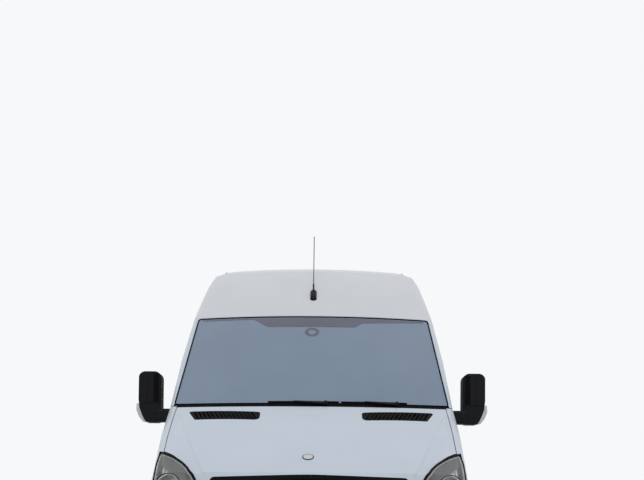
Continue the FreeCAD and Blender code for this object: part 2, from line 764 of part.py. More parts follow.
# Mirrors on the front doors: an arm, and a tall housing for two glasses
housing = front_prism(
    [(1010, 1350, 30), (1196, 1350, 60), (1208, 1480, 200), (1168, 1690, 45), (1022, 1690, 50)], 1310, 1420
)
arm = side_prism([(1290, 1352, 20), (1400, 1352, 20), (1400, 1440, 20), (1290, 1440, 20)], 880, 1040)
pair("mirror", all_in_one([housing, arm.cut(hull(0.0))]))

# Aerial on the sloping front of the roof: an oval foot, a stub and a whip
aerial_foot = at(0, 1752, 2314)
up_slope = V(0, 154, 150).normalize()
off_slope = V(0, -150, 154).normalize()
foot_rings = []
for lift, half_x, half_slope in ((-10, 27, 72), (12, 20, 60), (22, 10, 40)):
    corners = [(half_x, half_slope), (half_x, -half_slope), (-half_x, -half_slope), (-half_x, half_slope)]
    middle = aerial_foot + off_slope * lift
    foot_rings.append(rounded([(middle + V(a, 0, 0) + up_slope * b, half_x - 1) for a, b in corners]))
foot = Part.makeLoft(foot_rings, True, True).cut(hull(0.0))
stub_foot = at(0, 1762, 2336)
stub_top = at(0, 1798, 2410)
whip = Part.makeCylinder(3, 460, stub_top, V(0, 0.42, 0.907))
node("aerial", all_in_one([foot, rod(stub_foot, stub_top, 6), whip]))

# Wipers resting above the foot of the windscreen
wipers = []
for x_low, x_high in ((-276, 176), (196, 612)):
    wipers.append(block(x_low, x_high, 0, 2000, 1446, 1458).common(shell(-14, glass_recess - seat_gap)))
node("wipers", Part.makeCompound(wipers))

os.makedirs("parts", exist_ok=True)
for name, shape in NODES.items():
    shape.exportStep(f"parts/{name}.step")
    print(name, len(shape.Solids), "solids", shape.isValid(), round(shape.Volume / 1e6, 2), "litres")
print(len(NODES), "pieces")
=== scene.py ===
# %% [markdown]
# # A high-roofed minibus
# The minibus arrives as plain solids in a shared frame, in metres: the nose points along -Y,
# the vehicle's left is +X and the ground is z = 0. This lesson gives those solids their paint,
# glass, rubber and cloth, and adds the parts that are too fine for a plain solid.

# %% Load the solids
import json
import math
from contextlib import contextmanager

import bpy
from mathutils import Matrix, Vector
from mathutils.bvhtree import BVHTree

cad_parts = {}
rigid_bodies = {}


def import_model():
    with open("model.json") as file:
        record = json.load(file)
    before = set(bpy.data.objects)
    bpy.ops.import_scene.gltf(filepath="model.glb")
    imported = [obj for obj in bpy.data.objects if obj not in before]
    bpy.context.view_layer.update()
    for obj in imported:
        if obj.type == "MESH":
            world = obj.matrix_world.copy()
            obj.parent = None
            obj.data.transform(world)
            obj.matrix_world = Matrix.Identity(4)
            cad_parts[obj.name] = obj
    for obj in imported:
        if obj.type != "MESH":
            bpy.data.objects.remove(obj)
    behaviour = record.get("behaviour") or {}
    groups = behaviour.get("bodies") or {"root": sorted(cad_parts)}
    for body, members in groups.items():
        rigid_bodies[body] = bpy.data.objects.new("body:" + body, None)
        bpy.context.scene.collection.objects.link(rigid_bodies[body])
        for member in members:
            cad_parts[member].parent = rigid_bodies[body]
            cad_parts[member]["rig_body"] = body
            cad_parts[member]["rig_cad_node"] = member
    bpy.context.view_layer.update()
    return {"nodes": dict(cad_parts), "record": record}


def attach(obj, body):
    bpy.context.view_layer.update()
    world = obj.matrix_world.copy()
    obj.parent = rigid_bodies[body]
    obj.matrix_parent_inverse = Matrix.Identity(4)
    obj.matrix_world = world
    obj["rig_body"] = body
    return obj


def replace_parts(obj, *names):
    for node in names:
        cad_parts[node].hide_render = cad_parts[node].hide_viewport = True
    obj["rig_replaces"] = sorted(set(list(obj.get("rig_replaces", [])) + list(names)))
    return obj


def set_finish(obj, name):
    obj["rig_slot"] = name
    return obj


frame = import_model()

# %% [markdown]
# A station is a distance behind the foremost point of the nose, because body drawings are
# measured that way. It is easier to say that the front axle is at station 1.004 than to
# count from the middle of the vehicle.

# %% Place by station
HALF_LENGTH = 2.955
FRONT_AXLE = 1.004
REAR_AXLE = 4.669
HALF_TRACK = 0.858
WHEEL_CENTRE = 0.356
SIDES = (("left", 1), ("right", -1))


def at(x, station, z):
    return Vector((x, station - HALF_LENGTH, z))


print("front axle at", at(0, FRONT_AXLE, WHEEL_CENTRE))

# %% [markdown]
# Several finishes share the same effects: fine grain, cloudy changes of tone, dust that gathers
# low down, a weave of threads. Each is a node group, built once and used with other values.

# %% Shared shader effects
def shader_group(name, inputs, outputs):
    group = bpy.data.node_groups.new(name, "ShaderNodeTree")
    for label, value in inputs:
        kind = "NodeSocketColor" if isinstance(value, tuple) else "NodeSocketFloat"
        socket = group.interface.new_socket(name=label, in_out="INPUT", socket_type=kind)
        socket.default_value = (*value, 1) if isinstance(value, tuple) else value
    for label, kind in outputs:
        group.interface.new_socket(name=label, in_out="OUTPUT", socket_type=kind)
    return group, group.nodes.new("NodeGroupInput"), group.nodes.new("NodeGroupOutput")


def math_node(tree, operation, a, b=None, clamp=False):
    node = tree.nodes.new("ShaderNodeMath")
    node.operation = operation
    node.use_clamp = clamp
    for socket, value in zip(node.inputs, (a, b)):
        if value is None:
            continue
        if isinstance(value, (int, float)):
            socket.default_value = value
        else:
            tree.links.new(value, socket)
    return node.outputs[0]


def mix_colour(tree, fac, a, b):
    node = tree.nodes.new("ShaderNodeMix")
    node.data_type = "RGBA"
    for index, value in ((0, fac), (6, a), (7, b)):
        if isinstance(value, (int, float)):
            node.inputs[index].default_value = value
        elif isinstance(value, tuple):
            node.inputs[index].default_value = (*value, 1)
        else:
            tree.links.new(value, node.inputs[index])
    return node.outputs[2]


def noise_node(tree, scale, detail=3.0, stretch=(1, 1, 1)):
    coordinates = tree.nodes.new("ShaderNodeTexCoord")
    mapping = tree.nodes.new("ShaderNodeMapping")
    mapping.inputs["Scale"].default_value = stretch
    noise = tree.nodes.new("ShaderNodeTexNoise")
    noise.inputs["Scale"].default_value = scale
    noise.inputs["Detail"].default_value = detail
    tree.links.new(coordinates.outputs["Object"], mapping.inputs["Vector"])
    tree.links.new(mapping.outputs["Vector"], noise.inputs["Vector"])
    return noise.outputs["Fac"]


def object_axes(tree):
    where = tree.nodes.new("ShaderNodeTexCoord")
    split = tree.nodes.new("ShaderNodeSeparateXYZ")
    tree.links.new(where.outputs["Object"], split.inputs[0])
    return split.outputs


dust, dust_in, dust_out = shader_group(
    "dust_low_down",
    [("Clean", (0.8, 0.8, 0.8)), ("Dust", (0.30, 0.28, 0.25)), ("Amount", 0.5), ("Height", 0.9)],
    [("Colour", "NodeSocketColor"), ("Mask", "NodeSocketFloat")],
)
ratio = math_node(dust, "DIVIDE", object_axes(dust)["Z"], dust_in.outputs["Height"])
low_down = math_node(dust, "SUBTRACT", 1.0, ratio, clamp=True)
patches = noise_node(dust, 5.0, 6.0)
mask = math_node(dust, "MULTIPLY", low_down, math_node(dust, "MULTIPLY", patches, 1.6), clamp=True)
mask = math_node(dust, "MULTIPLY", mask, dust_in.outputs["Amount"], clamp=True)
dust.links.new(mask, dust_out.inputs["Mask"])
blend = mix_colour(dust, mask, dust_in.outputs["Clean"], dust_in.outputs["Dust"])
dust.links.new(blend, dust_out.inputs["Colour"])

mottle, mottle_in, mottle_out = shader_group(
    "mottled_colour",
    [("Light", (0.8, 0.8, 0.8)), ("Dark", (0.7, 0.7, 0.7)), ("Sharpness", 2.0)],
    [("Colour", "NodeSocketColor"), ("Height", "NodeSocketFloat")],
)
spread = math_node(mottle, "SUBTRACT", noise_node(mottle, 3.0, 5.0), 0.5)
spread = math_node(mottle, "MULTIPLY", spread, mottle_in.outputs["Sharpness"])
spread = math_node(mottle, "ADD", spread, 0.5, clamp=True)
tone = mix_colour(mottle, spread, mottle_in.outputs["Light"], mottle_in.outputs["Dark"])
mottle.links.new(tone, mottle_out.inputs["Colour"])
mottle.links.new(noise_node(mottle, 420.0, 2.0), mottle_out.inputs["Height"])

weave, weave_in, weave_out = shader_group(
    "woven_threads",
    [("Warp", (0.1, 0.1, 0.12)), ("Weft", (0.06, 0.07, 0.09)), ("Threads", 300.0)],
    [("Colour", "NodeSocketColor"), ("Height", "NodeSocketFloat")],
)
axes = object_axes(weave)
across = math_node(weave, "MULTIPLY", axes["X"], weave_in.outputs["Threads"])
along = math_node(weave, "ADD", axes["Y"], axes["Z"])
along = math_node(weave, "MULTIPLY", along, weave_in.outputs["Threads"])
parity = math_node(weave, "ADD", math_node(weave, "FLOOR", across), math_node(weave, "FLOOR", along))
parity = math_node(weave, "PINGPONG", parity, 1.0)
warp_hump = math_node(weave, "PINGPONG", across, 0.5)
weft_hump = math_node(weave, "PINGPONG", along, 0.5)
lower_thread = math_node(weave, "MULTIPLY", math_node(weave, "SUBTRACT", 1.0, parity), weft_hump)
upper_thread = math_node(weave, "MULTIPLY", parity, warp_hump)
weave.links.new(math_node(weave, "ADD", lower_thread, upper_thread), weave_out.inputs["Height"])
cloth_tone = mix_colour(weave, parity, weave_in.outputs["Warp"], weave_in.outputs["Weft"])
weave.links.new(cloth_tone, weave_out.inputs["Colour"])
print("groups:", [g.name for g in bpy.data.node_groups])

# %% [markdown]
# Every finish starts as one Principled shader. The constant values sit on its own sockets, and
# only what changes over the surface comes in through nodes: colour through the groups above,
# and fine relief through a Bump node.

# %% Make the finishes
def finish(name, colour, shade, dust_amount=0.3, dust_height=0.9, bump=0.0, threads=0, **sockets):
    material = bpy.data.materials.new(name)
    material.use_nodes = True
    tree = material.node_tree
    shader = tree.nodes["Principled BSDF"]
    for socket, value in sockets.items():
        label = socket.replace("_", " ").title().replace("Ior", "IOR")
        shader.inputs[label].default_value = value
    tone = tree.nodes.new("ShaderNodeGroup")
    tone.node_tree = weave if threads else mottle
    tone.inputs[0].default_value = (*colour, 1)
    tone.inputs[1].default_value = (*shade, 1)
    if threads:
        tone.inputs["Threads"].default_value = threads
    dirt = tree.nodes.new("ShaderNodeGroup")
    dirt.node_tree = dust
    dirt.inputs["Amount"].default_value = dust_amount
    dirt.inputs["Height"].default_value = dust_height
    tree.links.new(tone.outputs["Colour"], dirt.inputs["Clean"])
    tree.links.new(dirt.outputs["Colour"], shader.inputs["Base Color"])
    if bump > 0:
        relief = tree.nodes.new("ShaderNodeBump")
        relief.inputs["Strength"].default_value = bump
        relief.inputs["Distance"].default_value = 0.001
        tree.links.new(tone.outputs["Height"], relief.inputs["Height"])
        tree.links.new(relief.outputs["Normal"], shader.inputs["Normal"])
    return material


FINISHES = {
    "body_paint": finish(
        "pale_body_paint", (0.585, 0.64, 0.70), (0.55, 0.61, 0.675), 0.35, 1.1,
        roughness=0.36, specular_ior_level=0.32, coat_weight=0.22, coat_roughness=0.1,
    ),
    "roof_paint": finish(
        "roof_gel_coat", (0.68, 0.69, 0.695), (0.645, 0.655, 0.665), 0.0, 1.1,
        roughness=0.45, specular_ior_level=0.3, coat_weight=0.15, coat_roughness=0.2,
    ),
    "black_plastic": finish(
        "black_moulded_plastic", (0.007, 0.0072, 0.008), (0.011, 0.0112, 0.0125), 0.12, 0.8, 0.5,
        roughness=0.55, specular_ior_level=0.12,
    ),
    "grey_plastic": finish(
        "grey_cab_plastic", (0.10, 0.103, 0.109), (0.13, 0.134, 0.14), 0.1, 1.2, 0.6, roughness=0.6,
    ),
    "cloth_grey": finish(
        "grey_seat_cloth", (0.085, 0.098, 0.13), (0.15, 0.165, 0.2), 0.0, 1.0, 0.8, 330,
        roughness=0.9, sheen_weight=0.3,
    ),
    "tyre_rubber": finish(
        "tyre_rubber", (0.020, 0.020, 0.021), (0.034, 0.033, 0.032), 0.45, 0.7, 0.4, roughness=0.75,
    ),
    "rim_silver": finish(
        "silver_wheel_paint", (0.42, 0.43, 0.44), (0.36, 0.37, 0.38), 0.4, 0.7, metallic=0.6, roughness=0.35,
    ),
    "chassis_black": finish(
        "black_chassis_paint", (0.030, 0.030, 0.032), (0.05, 0.047, 0.043), 0.6, 0.9, 0.6, roughness=0.6,
    ),
    "floor_covering": finish(
        "grey_floor_rubber", (0.08, 0.082, 0.086), (0.11, 0.112, 0.115), 0.2, 1.0, 0.4, roughness=0.7,
    ),
    "engine_cast": finish(
        "cast_metal", (0.16, 0.16, 0.165), (0.21, 0.2, 0.19), 0.5, 0.9, 0.8, metallic=0.7, roughness=0.55,
    ),
    "bright_steel": finish(
        "dull_steel", (0.38, 0.36, 0.34), (0.28, 0.24, 0.21), 0.5, 0.9, 0.3, metallic=0.9, roughness=0.4,
    ),
    "chrome": finish(
        "polished_metal", (0.62, 0.63, 0.64), (0.56, 0.57, 0.58), 0.1, 0.6, metallic=0.9, roughness=0.16,
    ),
    # The reflector's near-white colour stands in for the bright reflections in a silvered lamp reflector:
    # painted reflection.
    "reflector": finish(
        "lamp_reflector", (0.88, 0.88, 0.86), (0.72, 0.72, 0.70), 0.0, 0.6, metallic=0.25, roughness=0.22,
    ),
    "lamp_red": finish(
        "red_lamp_plastic", (0.42, 0.012, 0.01), (0.36, 0.01, 0.01), 0.2, 1.2,
        roughness=0.15, coat_weight=0.8,
    ),
    "lamp_amber": finish(
        "amber_lamp_plastic", (0.62, 0.20, 0.02), (0.52, 0.16, 0.02), 0.2, 1.2,
        roughness=0.15, coat_weight=0.8,
    ),
    "lamp_white": finish(
        "pale_lamp_plastic", (0.62, 0.63, 0.64), (0.52, 0.53, 0.54), 0.2, 1.2,
        roughness=0.15, coat_weight=0.8,
    ),
    "mirror_face": finish(
        "mirror_glass", (0.55, 0.58, 0.6), (0.53, 0.56, 0.58), 0.1, 1.0, metallic=1.0, roughness=0.04,
    ),
    # Black rubber for seals and gaps. On the grille, the bonnet vents and the bumper opening the same black
    # is painted shade.
    "seal_rubber": finish(
        "black_rubber_also_painted_shade", (0.0025, 0.0025, 0.004), (0.004, 0.004, 0.006), 0.08, 0.7, 0.3,
        roughness=0.6, specular_ior_level=0.06,
    ),
    "blank_plate": finish(
        "blank_white_plate", (0.62, 0.62, 0.61), (0.57, 0.57, 0.56), 0.3, 1.0, roughness=0.45,
    ),
    "piping": finish(
        "dark_seam_piping", (0.03, 0.032, 0.04), (0.045, 0.048, 0.055), 0.0, 1.0, 0.5, 600, roughness=0.8,
    ),
}
print("finishes:", len(FINISHES))

# %% [markdown]
# Window glass seen from outside is mostly what it mirrors. One Principled shader does it: a
# blue-grey colour stands for the pale sky in the pane, and Alpha, raised at a glancing angle by
# a Layer Weight node, lets the seats show faintly behind. A lamp cover has hardly any colour.

# %% Make the glass
def glass_finish(name, sheen, cloudy, least_alpha, roughness=0.03):
    material = bpy.data.materials.new(name)
    material.use_nodes = True
    tree = material.node_tree
    shader = tree.nodes["Principled BSDF"]
    shader.inputs["Roughness"].default_value = roughness
    shader.inputs["Coat Weight"].default_value = 1.0
    shader.inputs["Coat Roughness"].default_value = 0.02
    tone = tree.nodes.new("ShaderNodeGroup")
    tone.node_tree = mottle
    tone.inputs["Light"].default_value = (*sheen, 1)
    tone.inputs["Dark"].default_value = (*cloudy, 1)
    tree.links.new(tone.outputs["Colour"], shader.inputs["Base Color"])
    glance = tree.nodes.new("ShaderNodeLayerWeight")
    glance.inputs["Blend"].default_value = 0.3
    share = math_node(tree, "MULTIPLY", glance.outputs["Fresnel"], 1.0 - least_alpha)
    share = math_node(tree, "ADD", share, least_alpha, clamp=True)
    tree.links.new(share, shader.inputs["Alpha"])
    return material


FINISHES["window_glass"] = glass_finish("blue_grey_glass", (0.215, 0.30, 0.41), (0.245, 0.335, 0.45), 0.68)
FINISHES["lamp_clear"] = glass_finish("clear_lamp_cover", (0.50, 0.50, 0.49), (0.44, 0.44, 0.43), 0.05)
FINISHES["shade_band"] = glass_finish("tinted_shade_band", (0.125, 0.135, 0.19), (0.15, 0.155, 0.21), 0.62)
print("glass:", FINISHES["window_glass"].name)

# %% [markdown]
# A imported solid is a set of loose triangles, so its edges look razor sharp and its curves
# faceted. A copy has its corners merged, flat faces joined, smooth shading up to a set angle and
# a small bevel, which catches light along the edge as pressed steel does.

# %% Dress one solid
def pick(piece):
    bpy.ops.object.select_all(action="DESELECT")
    piece.select_set(True)
    bpy.context.view_layer.objects.active = piece


@contextmanager
def editing(piece):
    """Edit mode with the whole mesh selected, and object mode again at the end."""
    pick(piece)
    bpy.ops.object.mode_set(mode="EDIT")
    bpy.ops.mesh.select_all(action="SELECT")
    yield
    bpy.ops.object.mode_set(mode="OBJECT")


def smooth(piece, angle=35):
    pick(piece)
    bpy.ops.object.shade_smooth_by_angle(angle=math.radians(angle))


def wear(piece, body, slot):
    piece.data.materials.clear()
    piece.data.materials.append(FINISHES[slot])
    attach(piece, body)
    return piece


def use_modifier(piece, kind, **settings):
    pick(piece)
    modifier = piece.modifiers.new(kind.lower(), kind)
    for key, value in settings.items():
        setattr(modifier, key, value)
    bpy.ops.object.modifier_apply(modifier=modifier.name)
    return piece


def bevelled(piece, width, segments=2, harden=True, **limits):
    use_modifier(
        piece, "BEVEL", width=width, segments=segments, limit_method="ANGLE", harden_normals=harden, **limits
    )


def newest(name):
    """The object that the last operator made, under its own name."""
    piece = bpy.context.object
    piece.name = name
    return piece


def copy_of(source, name):
    pick(source)
    bpy.ops.object.duplicate()
    piece = newest(name)
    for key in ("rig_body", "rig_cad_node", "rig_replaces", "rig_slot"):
        if key in piece:
            del piece[key]
    piece.parent = None
    return piece


BODY_OF = {n: b for b, names in frame["record"]["behaviour"]["bodies"].items() for n in names}
SLOT_OF = {s["node"]: s["material_slot"] for s in frame["record"]["subparts"]}


def merged_copy(node):
    piece = copy_of(frame["nodes"][node], "finished_" + node)
    with editing(piece):
        bpy.ops.mesh.remove_doubles(threshold=0.00002)
        bpy.ops.mesh.dissolve_limited(angle_limit=math.radians(0.4))
    return piece


def stand_for(piece, node, bevel=0.003, angle=32):
    smooth(piece, angle)
    bevelled(piece, bevel, harden=False, angle_limit=math.radians(angle))
    use_modifier(piece, "WEIGHTED_NORMAL", keep_sharp=True)
    wear(piece, BODY_OF[node], SLOT_OF[node])
    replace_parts(piece, node)
    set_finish(piece, SLOT_OF[node])
    return piece


LATER = {"bonnet", "front_seats", "rear_seats", "wipers", "tail_lamps", "steering_wheel"}
LATER |= {n for n in frame["nodes"] if n.startswith("tyre")}
PANEL_BEVEL = 0.003
PANE_BEVEL = 0.0015
dressed = {}
for node in sorted(set(frame["nodes"]) - LATER):
    pane = SLOT_OF[node] == "window_glass"
    dressed[node] = stand_for(merged_copy(node), node, PANE_BEVEL if pane else PANEL_BEVEL)
dressed["roof"].data.materials[0] = FINISHES["roof_paint"]
# The grille and the bonnet vents take the darkest black, darker than their own plastic: painted shade in the
# hollows between their louvres.
for node in ("grille", "bonnet_vents"):
    dressed[node].data.materials[0] = FINISHES["seal_rubber"]
print("dressed:", len(dressed))

# %% [markdown]
# The trim has to lie on curved panels. A ray shot at the solids finds the place of the skin
# under a point of a drawing seen from the front, a side, above or behind, and outlines are
# drawn as corners with a radius, then walked in short steps.

# %% Find the skin and draw on it
def surface_of(*names):
    corners, faces = [], []
    for name in names:
        solid = frame["nodes"][name].data
        start = len(corners)
        corners += [v.co.copy() for v in solid.vertices]
        faces += [[start + i for i in p.vertices] for p in solid.polygons]
    return BVHTree.FromPolygons(corners, faces)


def look_from(view, a, b):
    """Where a ray starts and which way it goes: a and b are the drawing's across and up."""
    return {
        "front": (at(a, -1, b), Vector((0, 1, 0))),
        "rear": (at(a, 7, b), Vector((0, -1, 0))),
        "left": (at(2, a, b), Vector((-1, 0, 0))),
        "right": (at(-2, a, b), Vector((1, 0, 0))),
        "top": (at(a, b, 4), Vector((0, 0, -1))),
    }[view]


PANEL_GAP = 0.007


def onto(surface, view, a, b, lift=0.0):
    for nudge in (0, PANEL_GAP, -PANEL_GAP, 2 * PANEL_GAP, -2 * PANEL_GAP):
        start, direction = look_from(view, a, b + nudge)
        spot, normal, _, _ = surface.ray_cast(start, direction)
        if spot is not None:
            break
    else:
        raise ValueError(f"no skin under {view} {a:.3f}, {b:.3f}")
    if normal.dot(direction) > 0:
        normal.negate()
    return spot - Vector((0, 0, nudge if view != "top" else 0)) + normal * lift


def laid(outline, surface, view, lift=0.0):
    return [onto(surface, view, a, b, lift) for a, b in outline]


def round_corners(corners, radius, steps=4):
    outline = []
    for i, corner in enumerate(corners):
        here = Vector(corner)
        back = (Vector(corners[i - 1]) - here).normalized()
        ahead = (Vector(corners[(i + 1) % len(corners)]) - here).normalized()
        for step in range(steps + 1):
            t = step / steps
            reach = here + back * radius * (1 - t) ** 2 + ahead * radius * t ** 2
            outline.append((reach.x, reach.y))
    return outline


def rounded(left, low, right, high, radius, steps=4):
    return round_corners([(left, low), (right, low), (right, high), (left, high)], radius, steps)


def fade(value, start, full):
    """0 up to start and 1 from full on, with a straight slope between them."""
    return min(1.0, max(0.0, (value - start) / (full - start)))


def level_at(stops, along):
    """The height over a place on a line drawn through stops of (place, height)."""
    for (a, level_a), (b, level_b) in zip(stops, stops[1:]):
        if a <= along <= b:
            return level_a + (level_b - level_a) * (along - a) / (b - a)
    return stops[-1][1]


def walk(outline, stride=0.05, closed=True):
    stops = []
    pairs = zip(outline, outline[1:] + outline[:1]) if closed else zip(outline, outline[1:])
    for (a, b), (c, d) in pairs:
        count = max(1, math.ceil(math.hypot(c - a, d - b) / stride))
        stops += [(a + (c - a) * i / count, b + (d - b) * i / count) for i in range(count)]
    return stops if closed else stops + [outline[-1]]


def shrunk(outline, distance):
    area = sum(a * d - c * b for (a, b), (c, d) in zip(outline, outline[1:] + outline[:1]))
    turn = 1 if area > 0 else -1
    inner = []
    for i, corner in enumerate(outline):
        here = Vector(corner)
        back = (here - Vector(outline[i - 1])).normalized()
        ahead = (Vector(outline[(i + 1) % len(outline)]) - here).normalized()
        normal = Vector((-(back + ahead).y, (back + ahead).x)).normalized() * turn
        stretch = max(0.35, normal.dot(Vector((-ahead.y, ahead.x)) * turn))
        inner.append(tuple(here + normal * distance / stretch))
    return inner


SKIN = surface_of(*[
    n for n in frame["nodes"]
    if SLOT_OF[n] in ("body_paint", "window_glass") or n.startswith("headlamp") or n == "front_bumper"
])
print("nose at z 1.1:", onto(SKIN, "front", 0.0, 1.1))

# %% [markdown]
# Five ways of making a piece cover nearly everything on a vehicle: a cord of rubber along a
# line, a flat plate, a sheet laid on a surface, a shape turned on a lathe, and a mirrored twin.
# All but the twin start from a primitive, and each ends as one mesh whose vertices stand in place.

# %% Ways of making a piece
def bead(name, points, radius, body, slot, closed=False, sides=2):
    bpy.ops.object.select_all(action="DESELECT")
    bpy.ops.curve.primitive_nurbs_path_add()
    line = newest(name)
    line.data.splines.clear()
    spline = line.data.splines.new("POLY")
    spline.points.add(len(points) - 1)
    for stop, place in zip(spline.points, points):
        stop.co = (*place, 1)
    spline.use_cyclic_u = closed
    line.data.bevel_depth = radius
    line.data.bevel_resolution = sides
    line.data.use_fill_caps = True
    bpy.ops.object.convert(target="MESH")
    piece = bpy.context.object
    smooth(piece, 50)
    return wear(piece, body, slot)


def plate(name, outline, depth, body, slot, bevel=0.0):
    bpy.ops.object.select_all(action="DESELECT")
    bpy.ops.mesh.primitive_circle_add(vertices=len(outline), fill_type="NGON")
    piece = newest(name)
    for vertex, place in zip(piece.data.vertices, outline):
        vertex.co = place
    with editing(piece):
        bpy.ops.mesh.extrude_region_move(TRANSFORM_OT_translate={"value": depth})
        bpy.ops.mesh.select_all(action="SELECT")
        bpy.ops.mesh.normals_make_consistent(inside=False)
    smooth(piece)
    if bevel:
        bevelled(piece, bevel)
    return wear(piece, body, slot)


def leave_faces(piece, keep):
    """Delete the faces whose place on the grid, from 0 to 1 each way, keep doesn't want."""
    with editing(piece):
        bpy.ops.mesh.select_all(action="DESELECT")
    for face in piece.data.polygons:
        face.select = not keep(face.center.x + 0.5, face.center.y + 0.5)
    bpy.ops.object.mode_set(mode="EDIT")
    bpy.ops.mesh.delete(type="FACE")
    bpy.ops.object.mode_set(mode="OBJECT")


def sheet(name, columns, rows, place, body, slot, thickness, bevel=0.0, heart=(0, 0, 1.2), keep=None):
    """A grid set down by place(u, v). Its outside is the face that looks away from heart."""
    bpy.ops.object.select_all(action="DESELECT")
    bpy.ops.mesh.primitive_grid_add(x_subdivisions=columns, y_subdivisions=rows, size=1)
    piece = newest(name)
    if keep:
        leave_faces(piece, keep)
    for vertex in piece.data.vertices:
        vertex.co = place(vertex.co.x + 0.5, vertex.co.y + 0.5)
    with editing(piece):
        bpy.ops.mesh.remove_doubles(threshold=0.00005)
        bpy.ops.mesh.normals_make_consistent(inside=False)
    faces = piece.data.polygons
    if sum(f.area * f.normal.dot(f.center - Vector(heart)) for f in faces) < 0:
        with editing(piece):
            bpy.ops.mesh.flip_normals()
    use_modifier(piece, "SOLIDIFY", thickness=abs(thickness), offset=1 if thickness > 0 else -1)
    if bevel:
        bevelled(piece, bevel)
    smooth(piece)
    return wear(piece, body, slot)


def turned(name, profile, centre, axis, body, slot, steps=48, angle=35):
    """A profile of (radius, height) spun round an axis through centre."""
    axis = Vector(axis).normalized()
    side = axis.orthogonal().normalized()
    bpy.ops.object.select_all(action="DESELECT")
    bpy.ops.mesh.primitive_circle_add(vertices=len(profile), fill_type="NOTHING")
    piece = newest(name)
    for vertex, (radius, height) in zip(piece.data.vertices, profile):
        vertex.co = Vector(centre) + side * radius + axis * height
    with editing(piece):
        bpy.ops.mesh.spin(steps=steps, angle=math.tau, center=centre, axis=axis)
        bpy.ops.mesh.select_all(action="SELECT")
        bpy.ops.mesh.remove_doubles(threshold=0.00005)
        bpy.ops.mesh.delete_loose(use_verts=True, use_edges=True, use_faces=False)
        bpy.ops.mesh.select_all(action="SELECT")
        bpy.ops.mesh.normals_make_consistent(inside=False)
    smooth(piece, angle)
    return wear(piece, body, slot)


def twin(source, name, body):
    piece = copy_of(source, name)
    piece.scale.x = -1
    bpy.ops.object.transform_apply(location=False, rotation=False, scale=True)
    with editing(piece):
        bpy.ops.mesh.normals_make_consistent(inside=False)
    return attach(piece, body) or piece


def twin_all(pieces, body):
    for piece in pieces:
        twin(piece, piece.name.replace("left", "right"), body)


def joined(pieces, name):
    pick(pieces[0])
    for piece in pieces:
        piece.select_set(True)
    bpy.ops.object.join()
    return newest(name)


def band(name, outline, width, surface, view, body, slot, lift=0.0, thickness=0.002, stride=0.05):
    outer = walk(outline, stride)
    inner = shrunk(outer, width)
    count = len(outer)

    def place(u, v):
        i = round(u * count) % count
        a = outer[i][0] + (inner[i][0] - outer[i][0]) * v
        b = outer[i][1] + (inner[i][1] - outer[i][1]) * v
        return onto(surface, view, a, b, lift)

    return sheet(name, count, 1, place, body, slot, thickness)


def seam_bead(name, outline, radius, surface, view, body, slot, lift=0.0, stride=0.05, closed=True):
    return bead(name, laid(walk(outline, stride, closed), surface, view, lift), radius, body, slot, closed)


print("ways of making a piece: bead, plate, sheet, turned, twin")

# %% [markdown]
# The photograph was taken standing 5.3 m in front of the nose, 0.86 m above the ground, with
# the camera tilted up by 15 degrees. A 54 mm lens on a 36 mm wide sensor gives that field.
# The light is a pale sky all round with one large soft lamp above and in front.

# %% Camera, light and floor
bpy.ops.object.camera_add(location=(0.06, -8.235, 0.86))
camera = bpy.context.object
camera.data.sensor_width = 36.0
camera.data.lens = 54.2
camera.data.clip_end = 200
camera.rotation_euler = (math.radians(104.96), 0, 0)
camera.rotation_euler.rotate_axis("Z", math.radians(0.44))
bpy.context.scene.camera = camera

SKY_STRENGTH = 0.70
world = bpy.data.worlds.new("pale_sky")
bpy.context.scene.world = world
world.use_nodes = True
sky = world.node_tree
background = sky.nodes["Background"]
background.inputs["Color"].default_value = (0.88, 0.91, 0.96, 1)
background.inputs["Strength"].default_value = SKY_STRENGTH
seen = sky.nodes.new("ShaderNodeBackground")
seen.inputs["Color"].default_value = (0.93, 0.94, 0.95, 1)
path = sky.nodes.new("ShaderNodeLightPath")
direct = path.outputs["Is Camera Ray"]
for ray in ("Is Transmission Ray", "Is Glossy Ray"):
    direct = math_node(sky, "ADD", direct, path.outputs[ray], clamp=True)
choose = sky.nodes.new("ShaderNodeMixShader")
for socket, link in zip(choose.inputs, (direct, background.outputs[0], seen.outputs[0])):
    sky.links.new(link, socket)
sky.links.new(choose.outputs[0], sky.nodes["World Output"].inputs["Surface"])

LAMPS = (  # place, size in metres, power in watts, aim
    ((0, -6, 9), 8, 200, (0, -1, 1)),
    ((-7, 3, 7), 6, 35, (0, 0, 1)),
    ((7, 3, 7), 6, 35, (0, 0, 1)),
)
for place, size, power, aim in LAMPS:
    bpy.ops.object.light_add(type="AREA", location=place)
    lamp = bpy.context.object
    lamp.data.size = size
    lamp.data.energy = power
    direction = Vector(aim) - Vector(place)
    lamp.rotation_euler = direction.to_track_quat("-Z", "Y").to_euler()

bpy.ops.mesh.primitive_plane_add(size=60)
floor = newest("studio_floor")
pale = bpy.data.materials.new("pale_floor")
pale.use_nodes = True
pale.node_tree.nodes["Principled BSDF"].inputs["Base Color"].default_value = (0.78, 0.785, 0.79, 1)
pale.node_tree.nodes["Principled BSDF"].inputs["Roughness"].default_value = 0.9
floor.data.materials.append(pale)
bpy.context.scene.view_settings.view_transform = "Standard"
print("camera at", tuple(camera.location))

# %% [markdown]
# The bonnet is pressed with a crease on each side, running from above the grille up to the
# corners of the windscreen. Bisecting the merged copy along the crease gives rows of corners
# to work with. The rows outside the crease are sunk by a centimetre and faded out, and the
# crease itself is marked sharp, or the smooth shading would wash it away.

# %% Crease the bonnet
CREASE_FOOT = Vector((0.72, 0, 1.20))
CREASE_ACROSS = Vector((0.841, 0, -0.541))
CREASE_ROWS = ((0.0, 0.0), (0.008, 0.0085), (0.024, 0.013), (0.06, 0.012), (0.15, 0.0))
INTO_THE_BONNET = Vector((0, 0.56, -0.83))
CUT_LEVELS = (0.95, 1.02, 1.08, 1.30, 1.36, 1.40)


